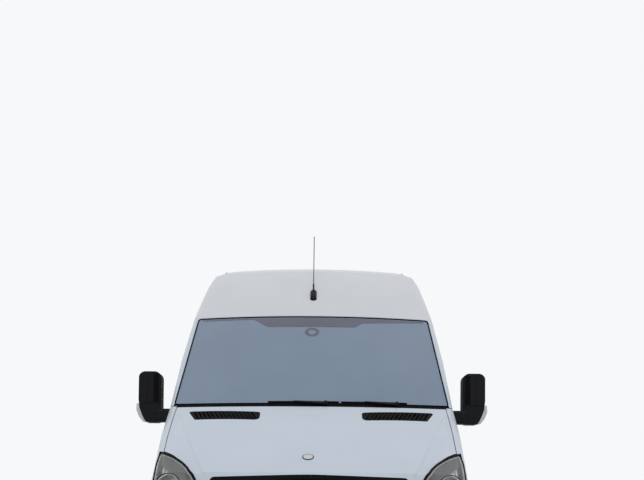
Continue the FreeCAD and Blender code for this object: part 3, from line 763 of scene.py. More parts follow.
def across_of(spot):
    """How far a place lies outside the crease, measured at a right angle to it."""
    return Vector((abs(spot.x) - CREASE_FOOT.x, 0, spot.z - CREASE_FOOT.z)).dot(CREASE_ACROSS)


bonnet = merged_copy("bonnet")
cuts = [(Vector((0, 0, level)), Vector((0, 0, 1))) for level in CUT_LEVELS]
for _, side in SIDES:
    mirrored = Vector((side, 1, 1))
    for shift, _ in CREASE_ROWS:
        cuts.append(((CREASE_FOOT + CREASE_ACROSS * shift) * mirrored, CREASE_ACROSS * mirrored))
for place, normal in cuts:
    with editing(bonnet):
        bpy.ops.mesh.bisect(plane_co=place, plane_no=normal)
sunk = 0
for vertex in bonnet.data.vertices:
    spot = vertex.co
    strength = fade(spot.z, 0.95, 1.02) * fade(spot.z, 1.40, 1.36) * fade(abs(spot.x), 0.862, 0.84)
    depth = level_at(CREASE_ROWS, across_of(spot)) * strength
    if depth > 0:
        vertex.co = spot + INTO_THE_BONNET * depth
        sunk += 1
for edge in bonnet.data.edges:
    ends = [bonnet.data.vertices[i].co for i in edge.vertices]
    if all(abs(across_of(spot)) < 0.0008 and 1.0 < spot.z < 1.38 for spot in ends):
        edge.use_edge_sharp = True
dressed["bonnet"] = stand_for(bonnet, "bonnet", 0.0025, 30)
print("corners sunk beside the creases:", sunk)

# %% [markdown]
# Above the grille and in its middle there are plain discs. Each is turned on a lathe: a domed
# face inside a rim.

# %% Plain discs on the nose
BONNET = surface_of("bonnet")


def facing(surface, view, a, b, step=0.01):
    """A place on the skin and the direction that the skin faces there."""
    here = onto(surface, view, a, b)
    side = onto(surface, view, a + step, b) - here
    up = onto(surface, view, a, b + step) - here
    normal = side.cross(up).normalized()
    _, direction = look_from(view, a, b)
    return here, normal if normal.dot(direction) < 0 else -normal


def plain_disc(name, centre, axis, radius, body, slot):
    profile = [
        (0, -0.004), (radius, -0.004), (radius, 0.002), (radius * 0.96, 0.004), (radius * 0.88, 0.004),
        (radius * 0.84, 0.0015), (radius * 0.5, 0.0035), (0, 0.0045),
    ]
    return turned(name, profile, centre, axis, body, slot)


spot, normal = facing(BONNET, "front", -0.009, 1.088)
plain_disc("bonnet_disc", spot + normal * 0.001, normal, 0.029, "bonnet", "chrome")
spoke = normal.orthogonal().normalized() * 0.0305
disc_edge = [spot + normal * 0.002 + Matrix.Rotation(math.tau * i / 40, 3, normal) @ spoke for i in range(40)]
bead("bonnet_disc_edge", disc_edge, 0.002, "bonnet", "seal_rubber", closed=True)
print("disc at", spot)

# %% [markdown]
# Behind the louvres of the grille there is a close row of upright ribs, so that the engine bay
# does not show. One rib is drawn as a thin plate and repeated across the opening.

# %% Ribs and disc in the grille
GRILLE = surface_of("grille", "bonnet", "front_bumper")
GRILLE_LOW = 0.775
GRILLE_HIGH = 0.980
RIB_PITCH = 0.026
RIB_DEPTH = 0.02
RIB_SETBACK = 0.05
ribs = []
for i in range(-20, 21):
    front = []
    for z in (GRILLE_LOW, GRILLE_HIGH):
        front.append(onto(GRILLE, "front", i * RIB_PITCH, z) + Vector((0, RIB_SETBACK, 0)))
    back = [spot + Vector((0, RIB_DEPTH, 0)) for spot in reversed(front)]
    ribs.append(plate(f"rib_{i}", front + back, (0.006, 0, 0), "bonnet", "black_plastic"))
joined(ribs, "grille_ribs")


# A black sheet behind the louvres: painted shade for the dark inside of the grille.
def grille_back(u, v):
    return onto(GRILLE, "front", -0.545 + 1.09 * u, GRILLE_LOW + 0.205 * v) + Vector((0, 0.075, 0))


sheet("grille_painted_shade_sheet", 24, 1, grille_back, "bonnet", "black_plastic", -0.002, heart=(0, 0, 0.9))
louvre = onto(surface_of("grille"), "front", 0.0, 0.859)
plain_disc("grille_disc", louvre + Vector((0, -0.006, 0.0)), (0, -0.95, 0.2), 0.090, "bonnet", "chrome")
print("ribs:", len(ribs))

# %% [markdown]
# The windscreen is glued into its frame over a black rubber, seen as a thin line all round.
# A printed band along its top keeps the sun out, and a round sensor sits behind it.

# %% Windscreen rubber, shade band and sensor
SCREEN = round_corners([(0.891, 1.443), (0.835, 2.121), (-0.835, 2.121), (-0.891, 1.443)], 0.022)
PANE = surface_of("windscreen")
seam_bead(
    "windscreen_rubber", shrunk(SCREEN, 0.002), 0.005, PANE, "front", "body", "seal_rubber", 0.001, 0.04,
)


def cowl_place(u, v):
    lip = onto(SKIN, "front", -0.893 + 1.786 * u, 1.4415 + 0.005 * v, 0.0005)
    return lip + Vector((0, -0.012, -0.0155)) * (1 - v)


sheet("windscreen_cowl", 60, 1, cowl_place, "body", "seal_rubber", 0.0015)
BAND_TOP = 2.110
BAND_FOOT = (
    (-0.80, 2.098), (-0.417, 2.098), (-0.362, 2.060), (-0.317, 2.034), (0.298, 2.034), (0.35, 2.07),
    (0.80, 2.098),
)


def shade_place(u, v):
    x = -0.80 + 1.60 * u
    foot = level_at(BAND_FOOT, x)
    return onto(PANE, "front", x, foot + (BAND_TOP - foot) * v, 0.0004)


sheet("windscreen_shade_band", 64, 3, shade_place, "body", "shade_band", 0.0006)
spot, normal = facing(PANE, "front", -0.005, 1.990)
SENSOR_PARTS = (  # name, lift off the pane, finish, profile
    ("print", 0.0004, "shade_band", [(0.027, 0.0), (0.050, 0.0), (0.0495, 0.0006), (0.0275, 0.0006)]),
    ("housing", -0.022, "black_plastic", [
        (0.026, 0.0), (0.050, 0.0), (0.050, 0.006), (0.044, 0.010), (0.032, 0.010), (0.026, 0.006),
    ]),
    ("lens", -0.020, "mirror_face", [(0, 0), (0.026, 0), (0.024, 0.006), (0, 0.008)]),
)
for name, lift, slot, profile in SENSOR_PARTS:
    turned(f"rain_sensor_{name}", profile, spot + normal * lift, normal, "body", slot)
print("sensor at", spot)

# %% [markdown]
# Each wiper is an arm on a pivot below the glass and a blade that lies on it: a rubber strip
# held by a slim bridge. The arm is drawn as a line of places lifted off the pane and given a
# flat section, thick at the pivot and thin at the blade.

# %% Wipers
BAR_SECTION = ((-1, -1), (1, -1), (1, 0.4), (0.5, 1), (-0.5, 1), (-1, 0.4))


def flat_bar(name, stops, up, body, slot):
    """stops: (place, half width, half height); up: the way its rounded back faces."""
    last = len(stops) - 1

    def place(u, v):
        i = round(u * last)
        spot, half_wide, half_high = stops[i]
        ahead = (stops[min(i + 1, last)][0] - stops[max(i - 1, 0)][0]).normalized()
        side = ahead.cross(up).normalized()
        wide, high = BAR_SECTION[round(v * 6) % 6]
        return spot + side * wide * half_wide + up * high * half_high

    bpy.ops.object.select_all(action="DESELECT")
    bpy.ops.mesh.primitive_grid_add(x_subdivisions=last, y_subdivisions=6, size=1)
    piece = newest(name)
    for vertex in piece.data.vertices:
        vertex.co = place(vertex.co.x + 0.5, vertex.co.y + 0.5)
    with editing(piece):
        bpy.ops.mesh.remove_doubles(threshold=0.00002)
        bpy.ops.mesh.select_all(action="DESELECT")
        bpy.ops.mesh.select_non_manifold()
        bpy.ops.mesh.edge_face_add()
        bpy.ops.mesh.select_all(action="SELECT")
        bpy.ops.mesh.normals_make_consistent(inside=False)
    smooth(piece, 40)
    return wear(piece, body, slot)


PANE_FOOT = 1.4445


def glass_spot(x, z, lift):
    return onto(PANE, "front", x, max(z, PANE_FOOT), lift) + Vector((0, 0, min(0.0, z - PANE_FOOT)))


_, GLASS_UP = facing(PANE, "front", 0.1, 1.5)
WIPERS = (("left", 0.545, 0.19, 0.612), ("right", 0.09, -0.276, 0.176))  # tag, pivot, blade's two ends
BLADE_STEPS = 12
ARM_STEPS = 8
PIVOT_PROFILE = [(0, -0.012), (0.014, -0.012), (0.014, 0.006), (0.011, 0.012), (0, 0.014)]
wiper_parts = []
for tag, pivot_x, blade_low, blade_high in WIPERS:
    middle = (blade_low + blade_high) / 2 - 0.06
    rubber, bridge, arm = [], [], []
    for i in range(BLADE_STEPS + 1):
        x = blade_low + (blade_high - blade_low) * i / BLADE_STEPS
        rubber.append((glass_spot(x, 1.452, 0.004), 0.004, 0.003))
        bridge.append((glass_spot(x, 1.452, 0.010), 0.006 - 0.003 * abs(i - 6) / 6, 0.003))
    for i in range(ARM_STEPS + 1):
        t = i / ARM_STEPS
        spot = glass_spot(pivot_x + (middle - pivot_x) * t, 1.440 + 0.012 * t, 0.016 - 0.002 * t)
        arm.append((spot, 0.009 - 0.0045 * t, 0.004))
    for kind, stops, slot in (
        ("rubber", rubber, "seal_rubber"), ("bridge", bridge, "black_plastic"), ("arm", arm, "black_plastic"),
    ):
        wiper_parts.append(flat_bar(f"wiper_{tag}_{kind}", stops, GLASS_UP, "body", slot))
    wiper_parts.append(turned(
        f"wiper_{tag}_pivot", PIVOT_PROFILE, arm[0][0], GLASS_UP, "body", "black_plastic", 24,
    ))
for part in wiper_parts:
    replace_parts(part, "wipers")
print("wiper parts:", len(wiper_parts))

# %% [markdown]
# A headlamp is a clear cover over a reflector, its near-white colour a painted reflection, with
# round lamps sunk into it. The reflector is a sheet held a hand's width behind the cover and
# pressed into vertical facets, with a grey brow above it and a bright bead inside the black
# rubber that seals the cover: a painted highlight along the cover's edge.

# %% Headlamps
LAMP = [
    (0.602, 0.762), (0.604, 0.900), (0.622, 0.950), (0.654, 0.992), (0.690, 1.030), (0.722, 1.055),
    (0.765, 1.080), (0.806, 1.099), (0.850, 1.114), (0.896, 1.126), (0.911, 1.060), (0.909, 0.950),
    (0.902, 0.838), (0.880, 0.795), (0.850, 0.768),
]
LAMP_TOP = LAMP[1:10]
LAMP_SKIN = surface_of("headlamp_left")
REFLECTOR_COLUMNS = 40
REFLECTOR_FOOT = 0.772
FACET_DEPTH = 0.009


def reflector_place(u, v):
    x = 0.612 + (0.225 + 0.048 * min(1.0, v * 2.5)) * u
    z = REFLECTOR_FOOT + (level_at(LAMP_TOP, x) - 0.016 - REFLECTOR_FOOT) * v
    dish = math.sin(math.pi * min(1, max(0, v))) * 0.035
    facet = FACET_DEPTH * (round(u * REFLECTOR_COLUMNS) % 4 < 2)
    return onto(LAMP_SKIN, "front", x, z) + Vector((-0.0125 * u, 0.034 + dish + facet, 0))


def brow_place(u, v):
    x = 0.640 + 0.235 * u
    z = level_at(LAMP_TOP, x) - 0.024 - (0.050 + 0.02 * math.sin(math.pi * u)) * v
    return onto(LAMP_SKIN, "front", x, z) + Vector((0, 0.020 + 0.030 * v, 0))


def round_lamp(name, x, z, radius, sink, slot):
    """A bowl, a bulb and a black ring round the bowl's rim, with lengths as shares of the radius."""
    spot = onto(LAMP_SKIN, "front", x, z) + Vector((0, sink, 0))
    bowl = [
        (radius, 0.0), (radius * 1.08, -0.004), (radius * 1.12, 0.006), (radius * 1.06, 0.022),
        (radius * 0.99, 0.022), (radius * 0.9, -0.006), (radius * 0.55, -0.032), (radius * 0.2, -0.04),
        (radius * 0.2, -0.043), (radius * 0.6, -0.036),
    ]
    bulb = [(0, -0.04), (0.016, -0.038), (0.018, -0.012), (0.012, 0.0), (0, 0.004)]
    ring = [(radius * 1.07, 0.018), (radius * 1.15, 0.018), (radius * 1.15, 0.026), (radius * 1.07, 0.026)]
    return [
        turned(f"{name}_{kind}", profile, spot, (0, -1, 0.05), "body", finish_name, steps)
        for kind, profile, finish_name, steps in (
            ("bowl", bowl, "reflector", 40), ("bulb", bulb, slot, 24), ("ring", ring, "black_plastic", 40),
        )
    ]


# A bright bead just inside the rubber is a painted highlight along the cover's edge.
inner_line = walk(shrunk(LAMP, 0.016), 0.02)
painted_highlight_line = [spot + Vector((0, 0.012, 0)) for spot in laid(inner_line, LAMP_SKIN, "front")]
lamp_parts = [
    sheet(
        "reflector_left", REFLECTOR_COLUMNS, 12, reflector_place, "body", "reflector", -0.002,
        heart=(0.3, 0, 0.9),
    ),
    band("lamp_bezel_left", LAMP, 0.009, LAMP_SKIN, "front", "body", "seal_rubber", 0.0004, 0.0012, 0.02),
    seam_bead(
        "lamp_gasket_left", shrunk(LAMP, 0.001), 0.004, LAMP_SKIN, "front", "body", "seal_rubber", 0, 0.02,
    ),
    bead("lamp_bright_edge_left", painted_highlight_line, 0.005, "body", "reflector", closed=True),
    sheet("lamp_brow_left", 24, 5, brow_place, "body", "rim_silver", -0.002, heart=(0.5, 0, 0.8)),
]
ROUND_LAMPS = (  # name, x, z, radius, depth behind the cover, finish of the bulb
    ("dipped_left", 0.800, 0.925, 0.062, 0.060, "chrome"),
    ("main_left", 0.682, 0.865, 0.056, 0.050, "chrome"),
    ("indicator_left", 0.862, 0.815, 0.030, 0.040, "lamp_amber"),
)
for row in ROUND_LAMPS:
    lamp_parts += round_lamp(*row)
twin_all(lamp_parts, "body")
print("lamp parts on each side:", len(lamp_parts))

# %% [markdown]
# A door mirror is a black housing with a cap, a pale turn lamp hooked round its lower outer
# corner and, facing backwards, a large flat glass over a small curved one for the wide angle.
# Everything is made for the left door and mirrored for the right one.

# %% Door mirrors
MIRROR_BODY = "front_door_left"
MIRROR_SHELL = [
    (1.010, 1.350), (1.140, 1.350), (1.158, 1.400), (1.160, 1.480), (1.163, 1.580), (1.158, 1.655),
    (1.140, 1.690), (1.040, 1.690), (1.022, 1.670),
]
MIRROR_INNER = 1.09
FLAT_GLASS = (1.475, 1.69)
WIDE_GLASS = (1.35, 1.455)
for name in ("mirror_left", "mirror_right"):
    for vertex in dressed[name].data.vertices:
        spot = vertex.co
        outside = abs(spot.x) - MIRROR_INNER
        if outside > 0:
            slim = 0.62 + 0.38 * fade(spot.z, 1.47, 1.66)
            tuck = 1.0 - 0.55 * fade(spot.z, 1.45, 1.35)
            vertex.co.x = math.copysign(MIRROR_INNER + outside * slim * tuck, spot.x)


def mirror_plate(name, heights, inset, station, depth, slot, bevel):
    """A plate with the housing's outline, cut off below and above at two heights."""
    low, high = heights
    line = []
    for x, z in shrunk(MIRROR_SHELL, inset):
        spot = at(x, station, min(high, max(low, z)))
        if not line or (spot - line[-1]).length > 0.004:
            line.append(spot)
    return plate(name, line, (0, depth, 0), MIRROR_BODY, slot, bevel)


LENS_LINE = ((1.156, 1.476), (1.151, 1.44), (1.134, 1.40), (1.117, 1.366), (1.095, 1.352))
LENS_REACH = (0.028, 0.038, 0.042, 0.030, 0.006)
LENS_STOPS = [i / (len(LENS_LINE) - 1) for i in range(len(LENS_LINE))]
LENS_X, LENS_Z = ([(stop, spot[k]) for stop, spot in zip(LENS_STOPS, LENS_LINE)] for k in (0, 1))


def lens_place(u, v):
    angle = math.pi * u
    out = level_at(list(zip(LENS_STOPS, LENS_REACH)), v) * math.sin(angle)
    x, z = level_at(LENS_X, v), level_at(LENS_Z, v)
    return at(x + out * (1 - 0.5 * v), 1.352 - 0.038 * math.cos(angle), z - out * 0.35 * v)


INNER_PANEL = ((1.030, 1.482), (1.066, 1.482), (1.072, 1.672), (1.040, 1.676))
RIDGE = [at(1.108, 1.3045, 1.482), at(1.112, 1.3035, 1.58), at(1.108, 1.3045, 1.672)]
mirror_parts = [
    mirror_plate("mirror_cap_left", FLAT_GLASS, 0.012, 1.3105, -0.006, "black_plastic", 0.004),
    mirror_plate("mirror_glass_left", FLAT_GLASS, 0.016, 1.4195, 0.004, "mirror_face", 0.001),
    mirror_plate("wide_mirror_left", WIDE_GLASS, 0.016, 1.4195, 0.004, "mirror_face", 0.001),
    sheet(
        "mirror_turn_lens_left", 14, 12, lens_place, MIRROR_BODY, "lamp_white", 0.003, 0.0, (1.1, -1.6, 1.42),
    ),
    plate(
        "mirror_panel_left", [at(x, 1.306, z) for x, z in INNER_PANEL], (0, -0.004, 0), MIRROR_BODY,
        "seal_rubber", 0.001,
    ),
    bead("mirror_ridge_left", RIDGE, 0.003, MIRROR_BODY, "black_plastic"),
]
twin_all(mirror_parts, "front_door_right")
print("mirror parts on each side:", len(mirror_parts))

# %% [markdown]
# Every window in the sides and doors is held by a rubber whose rounded lip stands proud of the
# panel. It is one bead of rubber drawn round each pane.

# %% Window rubbers
RUBBER = 0.0065
SIDE_PANES = ((2.616, 3.804), (3.930, 4.880), (4.960, 5.660))
rubbers = []
for side_name, side in SIDES:
    glass = surface_of("glass_" + side_name)
    for i, (front, rear) in enumerate(SIDE_PANES):
        line = shrunk(rounded(front, 1.340, rear, 2.012, 0.078, 6), 0.003)
        rubbers.append(seam_bead(
            f"window_rubber_{side_name}_{i}", line, RUBBER, glass, side_name, "body", "seal_rubber",
            0.0, 0.08,
        ))
    low_x, high_x = sorted((side * 0.110, side * 0.640))
    line = shrunk(rounded(low_x, 1.345, high_x, 2.010, 0.06, 6), 0.004)
    rubbers.append(seam_bead(
        f"rear_window_rubber_{side_name}", line, RUBBER, surface_of("rear_glass_" + side_name), "rear",
        f"back_door_{side_name}", "seal_rubber", 0.0, 0.08,
    ))
print("window rubbers:", len(rubbers))

# %% [markdown]
# The front door's window has a sloping front edge. Its outline is found from the pane itself:
# rays search from the middle to the pane's edge in every direction, halving the gap each time.

# %% Rubbers round the front door windows
PANE_MIDDLE = (1.95, 1.68)
PANE_REACH = 1.0
PANE_RAYS = 90


def outline_of(surface, view):
    outline = []
    for i in range(PANE_RAYS):
        angle = math.tau * i / PANE_RAYS
        near, far = 0.0, PANE_REACH
        for _ in range(14):
            middle = (near + far) / 2
            a, b = PANE_MIDDLE[0] + math.cos(angle) * middle, PANE_MIDDLE[1] + math.sin(angle) * middle
            if surface.ray_cast(*look_from(view, a, b))[0] is None:
                far = middle
            else:
                near = middle
        near -= 0.003
        outline.append((PANE_MIDDLE[0] + math.cos(angle) * near, PANE_MIDDLE[1] + math.sin(angle) * near))
    return outline


for side_name, _ in SIDES:
    glass = surface_of("door_glass_" + side_name)
    points = laid(outline_of(glass, side_name), glass, side_name)
    body = f"front_door_{side_name}"
    bead(f"door_window_rubber_{side_name}", points, RUBBER, body, "seal_rubber", closed=True)
print("door window rubbers: 2")

# %% [markdown]
# Along the flanks runs a black rubbing strip, cut at every panel gap so that the doors open.
# Its section is a low arch, so it is a sheet whose middle row is lifted off the panel.

# %% Rubbing strips
def strip(name, view, surface, start, end, low_z, high_z, proud, body, slot, steps=0):
    columns = steps or max(4, round(abs(end - start) / 0.08))

    def place(u, v):
        arch = math.sin(math.pi * v) ** 0.5 if 0 < v < 1 else 0.0
        taper = fade(u, 0.0, 0.02) * fade(1 - u, 0.0, 0.02)
        a = start + (end - start) * u
        return onto(surface, view, a, low_z + (high_z - low_z) * v, 0.0005 + proud * arch * taper)

    return sheet(name, columns, 6, place, body, slot, -0.002 if proud > 0.004 else 0.001)


STRIP_HEIGHTS = (0.80, 0.875)
STRIP_PROUD = 0.014
RUB_STRIPS = {
    "left": (
        ("rub_strip_door_left", 1.475, 2.425, "front_door_left"),
        ("rub_strip_long_left", 2.458, 5.72, "body"),
    ),
    "right": (
        ("rub_strip_door_right", 1.475, 2.425, "front_door_right"),
        ("rub_strip_slider", 2.578, 3.842, "body"),
        ("rub_strip_pillar_right", 2.458, 2.542, "body"),
        ("rub_strip_rear_right", 3.878, 5.72, "body"),
    ),
}
for side_name, rows in RUB_STRIPS.items():
    panels = {f"side_{side_name}", f"door_{side_name}", f"wing_{side_name}", "sliding_door"}
    flank = surface_of(*[n for n in frame["nodes"] if n in panels])
    for name, start, end, body in rows:
        strip(name, side_name, flank, start, end, *STRIP_HEIGHTS, STRIP_PROUD, body, "black_plastic")
print("rubbing strips:", sum(map(len, RUB_STRIPS.values())))

# %% [markdown]
# The rear wheel arches and the wings have rolled edges, and their lip catches the light. It is
# a bead of painted steel along the arch.

# %% Wheel arch lips
ARCH_RADIUS = 0.409
ARCHES = (("front", FRONT_AXLE, 12, 150), ("rear", REAR_AXLE, 4, 176))  # tag, station, angles in degrees


def arch_line(station, low_angle, high_angle, count=28):
    angles = [math.radians(low_angle + (high_angle - low_angle) * i / count) for i in range(count + 1)]
    return [(station + ARCH_RADIUS * math.cos(a), WHEEL_CENTRE + ARCH_RADIUS * math.sin(a)) for a in angles]


for side_name, _ in SIDES:
    flank = surface_of(f"side_{side_name}", f"wing_{side_name}", "front_bumper", f"door_{side_name}")
    for tag, *arch in ARCHES:
        lip = laid(arch_line(*arch), flank, side_name)
        bead(f"arch_lip_{tag}_{side_name}", lip, 0.007, "body", "body_paint")
print("arch lips: 4")

# %% [markdown]
# A door is opened by a bar handle over a dished recess. The recess is a dark rounded plate let
# into the panel and the handle a flat bar that arches over it, with a key cylinder beside it.

# %% Door handles and locks
WELL_WIDTH = {False: 0.062, True: 0.052}
KEY_CYLINDER = [
    (0, -0.002), (0.011, -0.002), (0.011, 0.003), (0.008, 0.005), (0.003, 0.005), (0.0025, 0.003), (0, 0.003),
]


def handle(name, view, surface, station, z, length, body, upright=False):
    def spot(along, lift):
        a, b = (station, z + along) if upright else (station + along, z)
        return onto(surface, view, a, b, lift)

    half = ((length + 0.03) / 2, WELL_WIDTH[upright] / 2)
    wide, tall = reversed(half) if upright else half
    rim = [(station + a, z + b) for a, b in rounded(-wide, -tall, wide, tall, 0.024)]
    _, inward = look_from(view, station, z)
    plate(f"{name}_well", laid(rim, surface, view, -0.001), inward * -0.0022, body, "seal_rubber")
    stops = []
    for i in range(13):
        arch = math.sin(math.pi * i / 12) ** 0.35 if 0 < i < 12 else 0.0
        stops.append((spot(-length / 2 + length * i / 12, 0.003 + 0.026 * arch), 0.010, 0.005))
    flat_bar(f"{name}_bar", stops, -inward, body, "black_plastic")
    turned(f"{name}_lock", KEY_CYLINDER, spot(length / 2 + 0.035, 0.001), -inward, body, "chrome", 24)


HANDLE_HEIGHT = 1.075
for side_name, _ in SIDES:
    door_skin = surface_of(f"door_{side_name}")
    body = f"front_door_{side_name}"
    handle(f"door_handle_{side_name}", side_name, door_skin, 2.30, HANDLE_HEIGHT, 0.15, body)
handle("slider_handle", "right", surface_of("sliding_door"), 2.69, HANDLE_HEIGHT, 0.15, "body")
handle("rear_handle", "rear", surface_of("rear_door_left"), 0.062, 1.10, 0.14, "back_door_left", upright=True)
print("handles: 4")

# %% [markdown]
# The sliding door hangs on a rail along the flank behind it. From outside it is a long slot
# under a painted cover, so it is a black strip with a bead of paint below it.

# %% Rail of the sliding door
FLANK = surface_of("side_right", "sliding_door")
RAIL_START = 3.885
RAIL_END = 5.42
RAIL_PARTS = (  # name, end, lower and upper edge, height off the panel, finish
    ("slot", RAIL_END, 1.222, 1.246, 0.002, "seal_rubber"),
    ("cover", RAIL_END + 0.02, 1.246, 1.276, 0.010, "body_paint"),
)
for name, end, low_z, high_z, proud, slot in RAIL_PARTS:
    strip(f"slider_rail_{name}", "right", FLANK, RAIL_START, end, low_z, high_z, proud, "body", slot)
seam_bead(
    "slider_rail_edge", [(RAIL_START, 1.219), (RAIL_END, 1.219)], 0.004, FLANK, "right", "body", "body_paint",
    0, 0.1, False,
)
print("rail length:", RAIL_END - RAIL_START)

# %% [markdown]
# On the left flank there is a fuel flap: a rounded square cut by a thin dark gap, with a notch
# for the finger. Small amber repeaters sit on both wings.

# %% Fuel flap and repeaters
LEFT_FLANK = surface_of("side_left")
FLAP = rounded(2.74, 0.95, 2.90, 1.11, 0.022)
FLAP_NOTCH = rounded(2.885, 1.01, 2.897, 1.05, 0.005)
REPEATER = rounded(1.265, 1.005, 1.325, 1.040, 0.012)
seam_bead("fuel_flap_gap", FLAP, 0.0022, LEFT_FLANK, "left", "body", "seal_rubber", 0.0004, 0.03)
flap_face = laid(shrunk(FLAP, 0.004), LEFT_FLANK, "left", 0.0006)
plate("fuel_flap", flap_face, (0.0018, 0, 0), "body", "body_paint", 0.0008)
notch = laid(FLAP_NOTCH, LEFT_FLANK, "left", 0.001)
plate("fuel_flap_notch", notch, (0.0022, 0, 0), "body", "seal_rubber")
for side_name, side in SIDES:
    lens = laid(REPEATER, surface_of(f"wing_{side_name}"), side_name)
    plate(f"side_repeater_{side_name}", lens, (side * 0.010, 0, 0), "body", "lamp_amber", 0.004)
print("flap and repeaters fitted")

# %% [markdown]
# The roof is pressed with long low ribs that stiffen it, and a drip rail runs along each edge.
# A rib is a sheet laid along the roof whose middle rows stand seven millimetres higher.

# %% Roof ribs and drip rails
ROOF = surface_of("roof")
RIB_LINES = (-0.50, -0.30, -0.10, 0.10, 0.30, 0.50)
RIB_ROWS = (0, 0.7, 1, 1, 0.7, 0)
for i, x in enumerate(RIB_LINES):
    def rib_place(u, v, x=x):
        arch = RIB_ROWS[round(v * 5)] * min(1, 12 * u, 12 * (1 - u))
        return onto(ROOF, "top", x + 0.06 * (v - 0.5), 2.55 + 3.05 * u, 0.0003 + 0.007 * arch)

    sheet(f"roof_rib_{i}", 36, 5, rib_place, "body", "roof_paint", -0.0015)
for side_name, side in SIDES:
    rail = [onto(ROOF, "top", side * (0.70 + 0.006 * min(4, i)), 2.27 + 0.105 * i, 0.001) for i in range(33)]
    bead(f"drip_rail_{side_name}", rail, 0.008, "body", "roof_paint")
print("ribs:", len(RIB_LINES), "rails: 2")

# %% [markdown]
# A tyre is turned on a lathe with its real section: beads on the rim, a bulging sidewall with
# raised rings, a shoulder and four grooves round the tread. The blocks of the shoulder are
# made as one lug, spun round the axle as copies, and joined to it.

# %% Tyres
HALF_TYRE = [  # radius and distance from the wheel's middle plane
    (0.2125, 0.088), (0.214, 0.099), (0.226, 0.108), (0.238, 0.1125), (0.246, 0.1115), (0.252, 0.1155),
    (0.282, 0.1172), (0.300, 0.1168), (0.302, 0.1150), (0.312, 0.1145), (0.326, 0.111), (0.338, 0.106),
    (0.346, 0.099), (0.3505, 0.090), (0.3535, 0.074), (0.3460, 0.072), (0.3460, 0.064), (0.3545, 0.062),
    (0.3555, 0.030), (0.3475, 0.028), (0.3475, 0.018), (0.3558, 0.016),
]
TYRE_SECTION = HALF_TYRE + [(radius, -height) for radius, height in reversed(HALF_TYRE)]
LUG_SECTION = (
    (0.330, 0.1095), (0.348, 0.098), (0.3535, 0.080), (0.3552, 0.080), (0.3520, 0.100), (0.334, 0.1122),
)
LUG_COUNT = 60
LUG_PITCH = math.tau / LUG_COUNT
LUG_LENGTH = 0.18 * LUG_PITCH


def tyre(tag, centre):
    node, body = f"tyre_{tag}", f"wheel_{tag}"
    parts = [turned(node, TYRE_SECTION, centre, (1, 0, 0), body, "tyre_rubber", 72, 28)]
    lean = Matrix.Rotation(-LUG_PITCH * 0.3, 3, "X")
    for side in (1, -1):
        outline = [centre + lean @ Vector((side * height, 0, radius)) for radius, height in LUG_SECTION]
        lug = plate(f"lug_{tag}", outline, (0, LUG_LENGTH, 0), body, "tyre_rubber")
        with editing(lug):
            bpy.ops.mesh.spin(
                steps=LUG_COUNT, dupli=True, angle=math.tau, center=centre, axis=(1, 0, 0),
                use_auto_merge=False,
            )
        parts.append(lug)
    piece = joined(parts, node)
    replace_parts(piece, node)
    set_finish(piece, "tyre_rubber")


WHEELS = [
    (f"{end}_{side_name}", side, station)
    for end, station in (("front", FRONT_AXLE), ("rear", REAR_AXLE)) for side_name, side in SIDES
]
for tag, side, station in WHEELS:
    tyre(tag, at(side * HALF_TRACK, station, WHEEL_CENTRE))
print("tyres: 4, lugs on each shoulder:", LUG_COUNT)

# %% [markdown]
# The pressed steel wheel is covered by a silver trim with a ring of oblong windows, six nuts
# and a plain cap. The trim starts as a grid wrapped into a dish; the faces that fall in the
# windows are left out before it gets its thickness.

# %% Wheel trims
TRIM_RINGS = (  # radius and rise towards the outside
    (0.030, 0.010), (0.062, 0.010), (0.075, 0.002), (0.094, 0.006), (0.104, 0.016), (0.112, 0.020),
    (0.150, 0.019), (0.158, 0.016), (0.170, 0.006), (0.196, 0.002), (0.2045, -0.004),
)
TRIM_ROWS = len(TRIM_RINGS) - 1
TRIM_COLUMNS = 96
WINDOW_ROW = 5
WINDOW_COUNT = 16
TRIM_FACE = 0.084
CAP_PROFILE = [(0, -0.004), (0.034, -0.004), (0.034, 0.014), (0.030, 0.020), (0.018, 0.023), (0, 0.024)]
NUT_PROFILE = [(0, 0), (0.0115, 0), (0.0115, 0.013), (0.008, 0.017), (0, 0.018)]
NUT_CIRCLE = 0.084
NUT_COUNT = 6


def in_window(u, v):
    return int(v * TRIM_ROWS) == WINDOW_ROW and int(u * TRIM_COLUMNS) % 6 in (1, 2, 3)


def wheel_trim(tag, side, station):
    face = side * (HALF_TRACK + TRIM_FACE)
    body = "wheel_" + tag

    def place(u, v):
        ring = round(v * TRIM_ROWS)
        angle = math.tau * u
        radius, rise = TRIM_RINGS[ring]
        if ring in (WINDOW_ROW, WINDOW_ROW + 1):
            spread = 0.5 - abs((u * WINDOW_COUNT) % 1 - 0.5)
            radius += (0.004 if ring == WINDOW_ROW else -0.004) * (spread < 0.28)
        centre = at(face + side * (rise - 0.006), station, WHEEL_CENTRE)
        return centre + Vector((0, radius * math.cos(angle), radius * math.sin(angle)))

    heart = at(side * (HALF_TRACK - 0.3), station, WHEEL_CENTRE)
    sheet(
        f"wheel_trim_{tag}", TRIM_COLUMNS, TRIM_ROWS, place, body, "rim_silver", -0.003, 0.0, heart,
        lambda u, v: not in_window(u, v),
    )
    hub = at(face - side * 0.004, station, WHEEL_CENTRE)
    turned(f"wheel_cap_{tag}", CAP_PROFILE, hub, (side, 0, 0), body, "rim_silver", 32)
    nuts = []
    for i in range(NUT_COUNT):
        angle = math.tau * i / NUT_COUNT
        round_hub = Vector((0, NUT_CIRCLE * math.cos(angle), NUT_CIRCLE * math.sin(angle)))
        spot = at(face - side * 0.006, station, WHEEL_CENTRE) + round_hub
        nuts.append(turned(f"nut_{i}", NUT_PROFILE, spot, (side, 0, 0), body, "chrome", 6, 20))
    joined(nuts, f"wheel_nuts_{tag}")


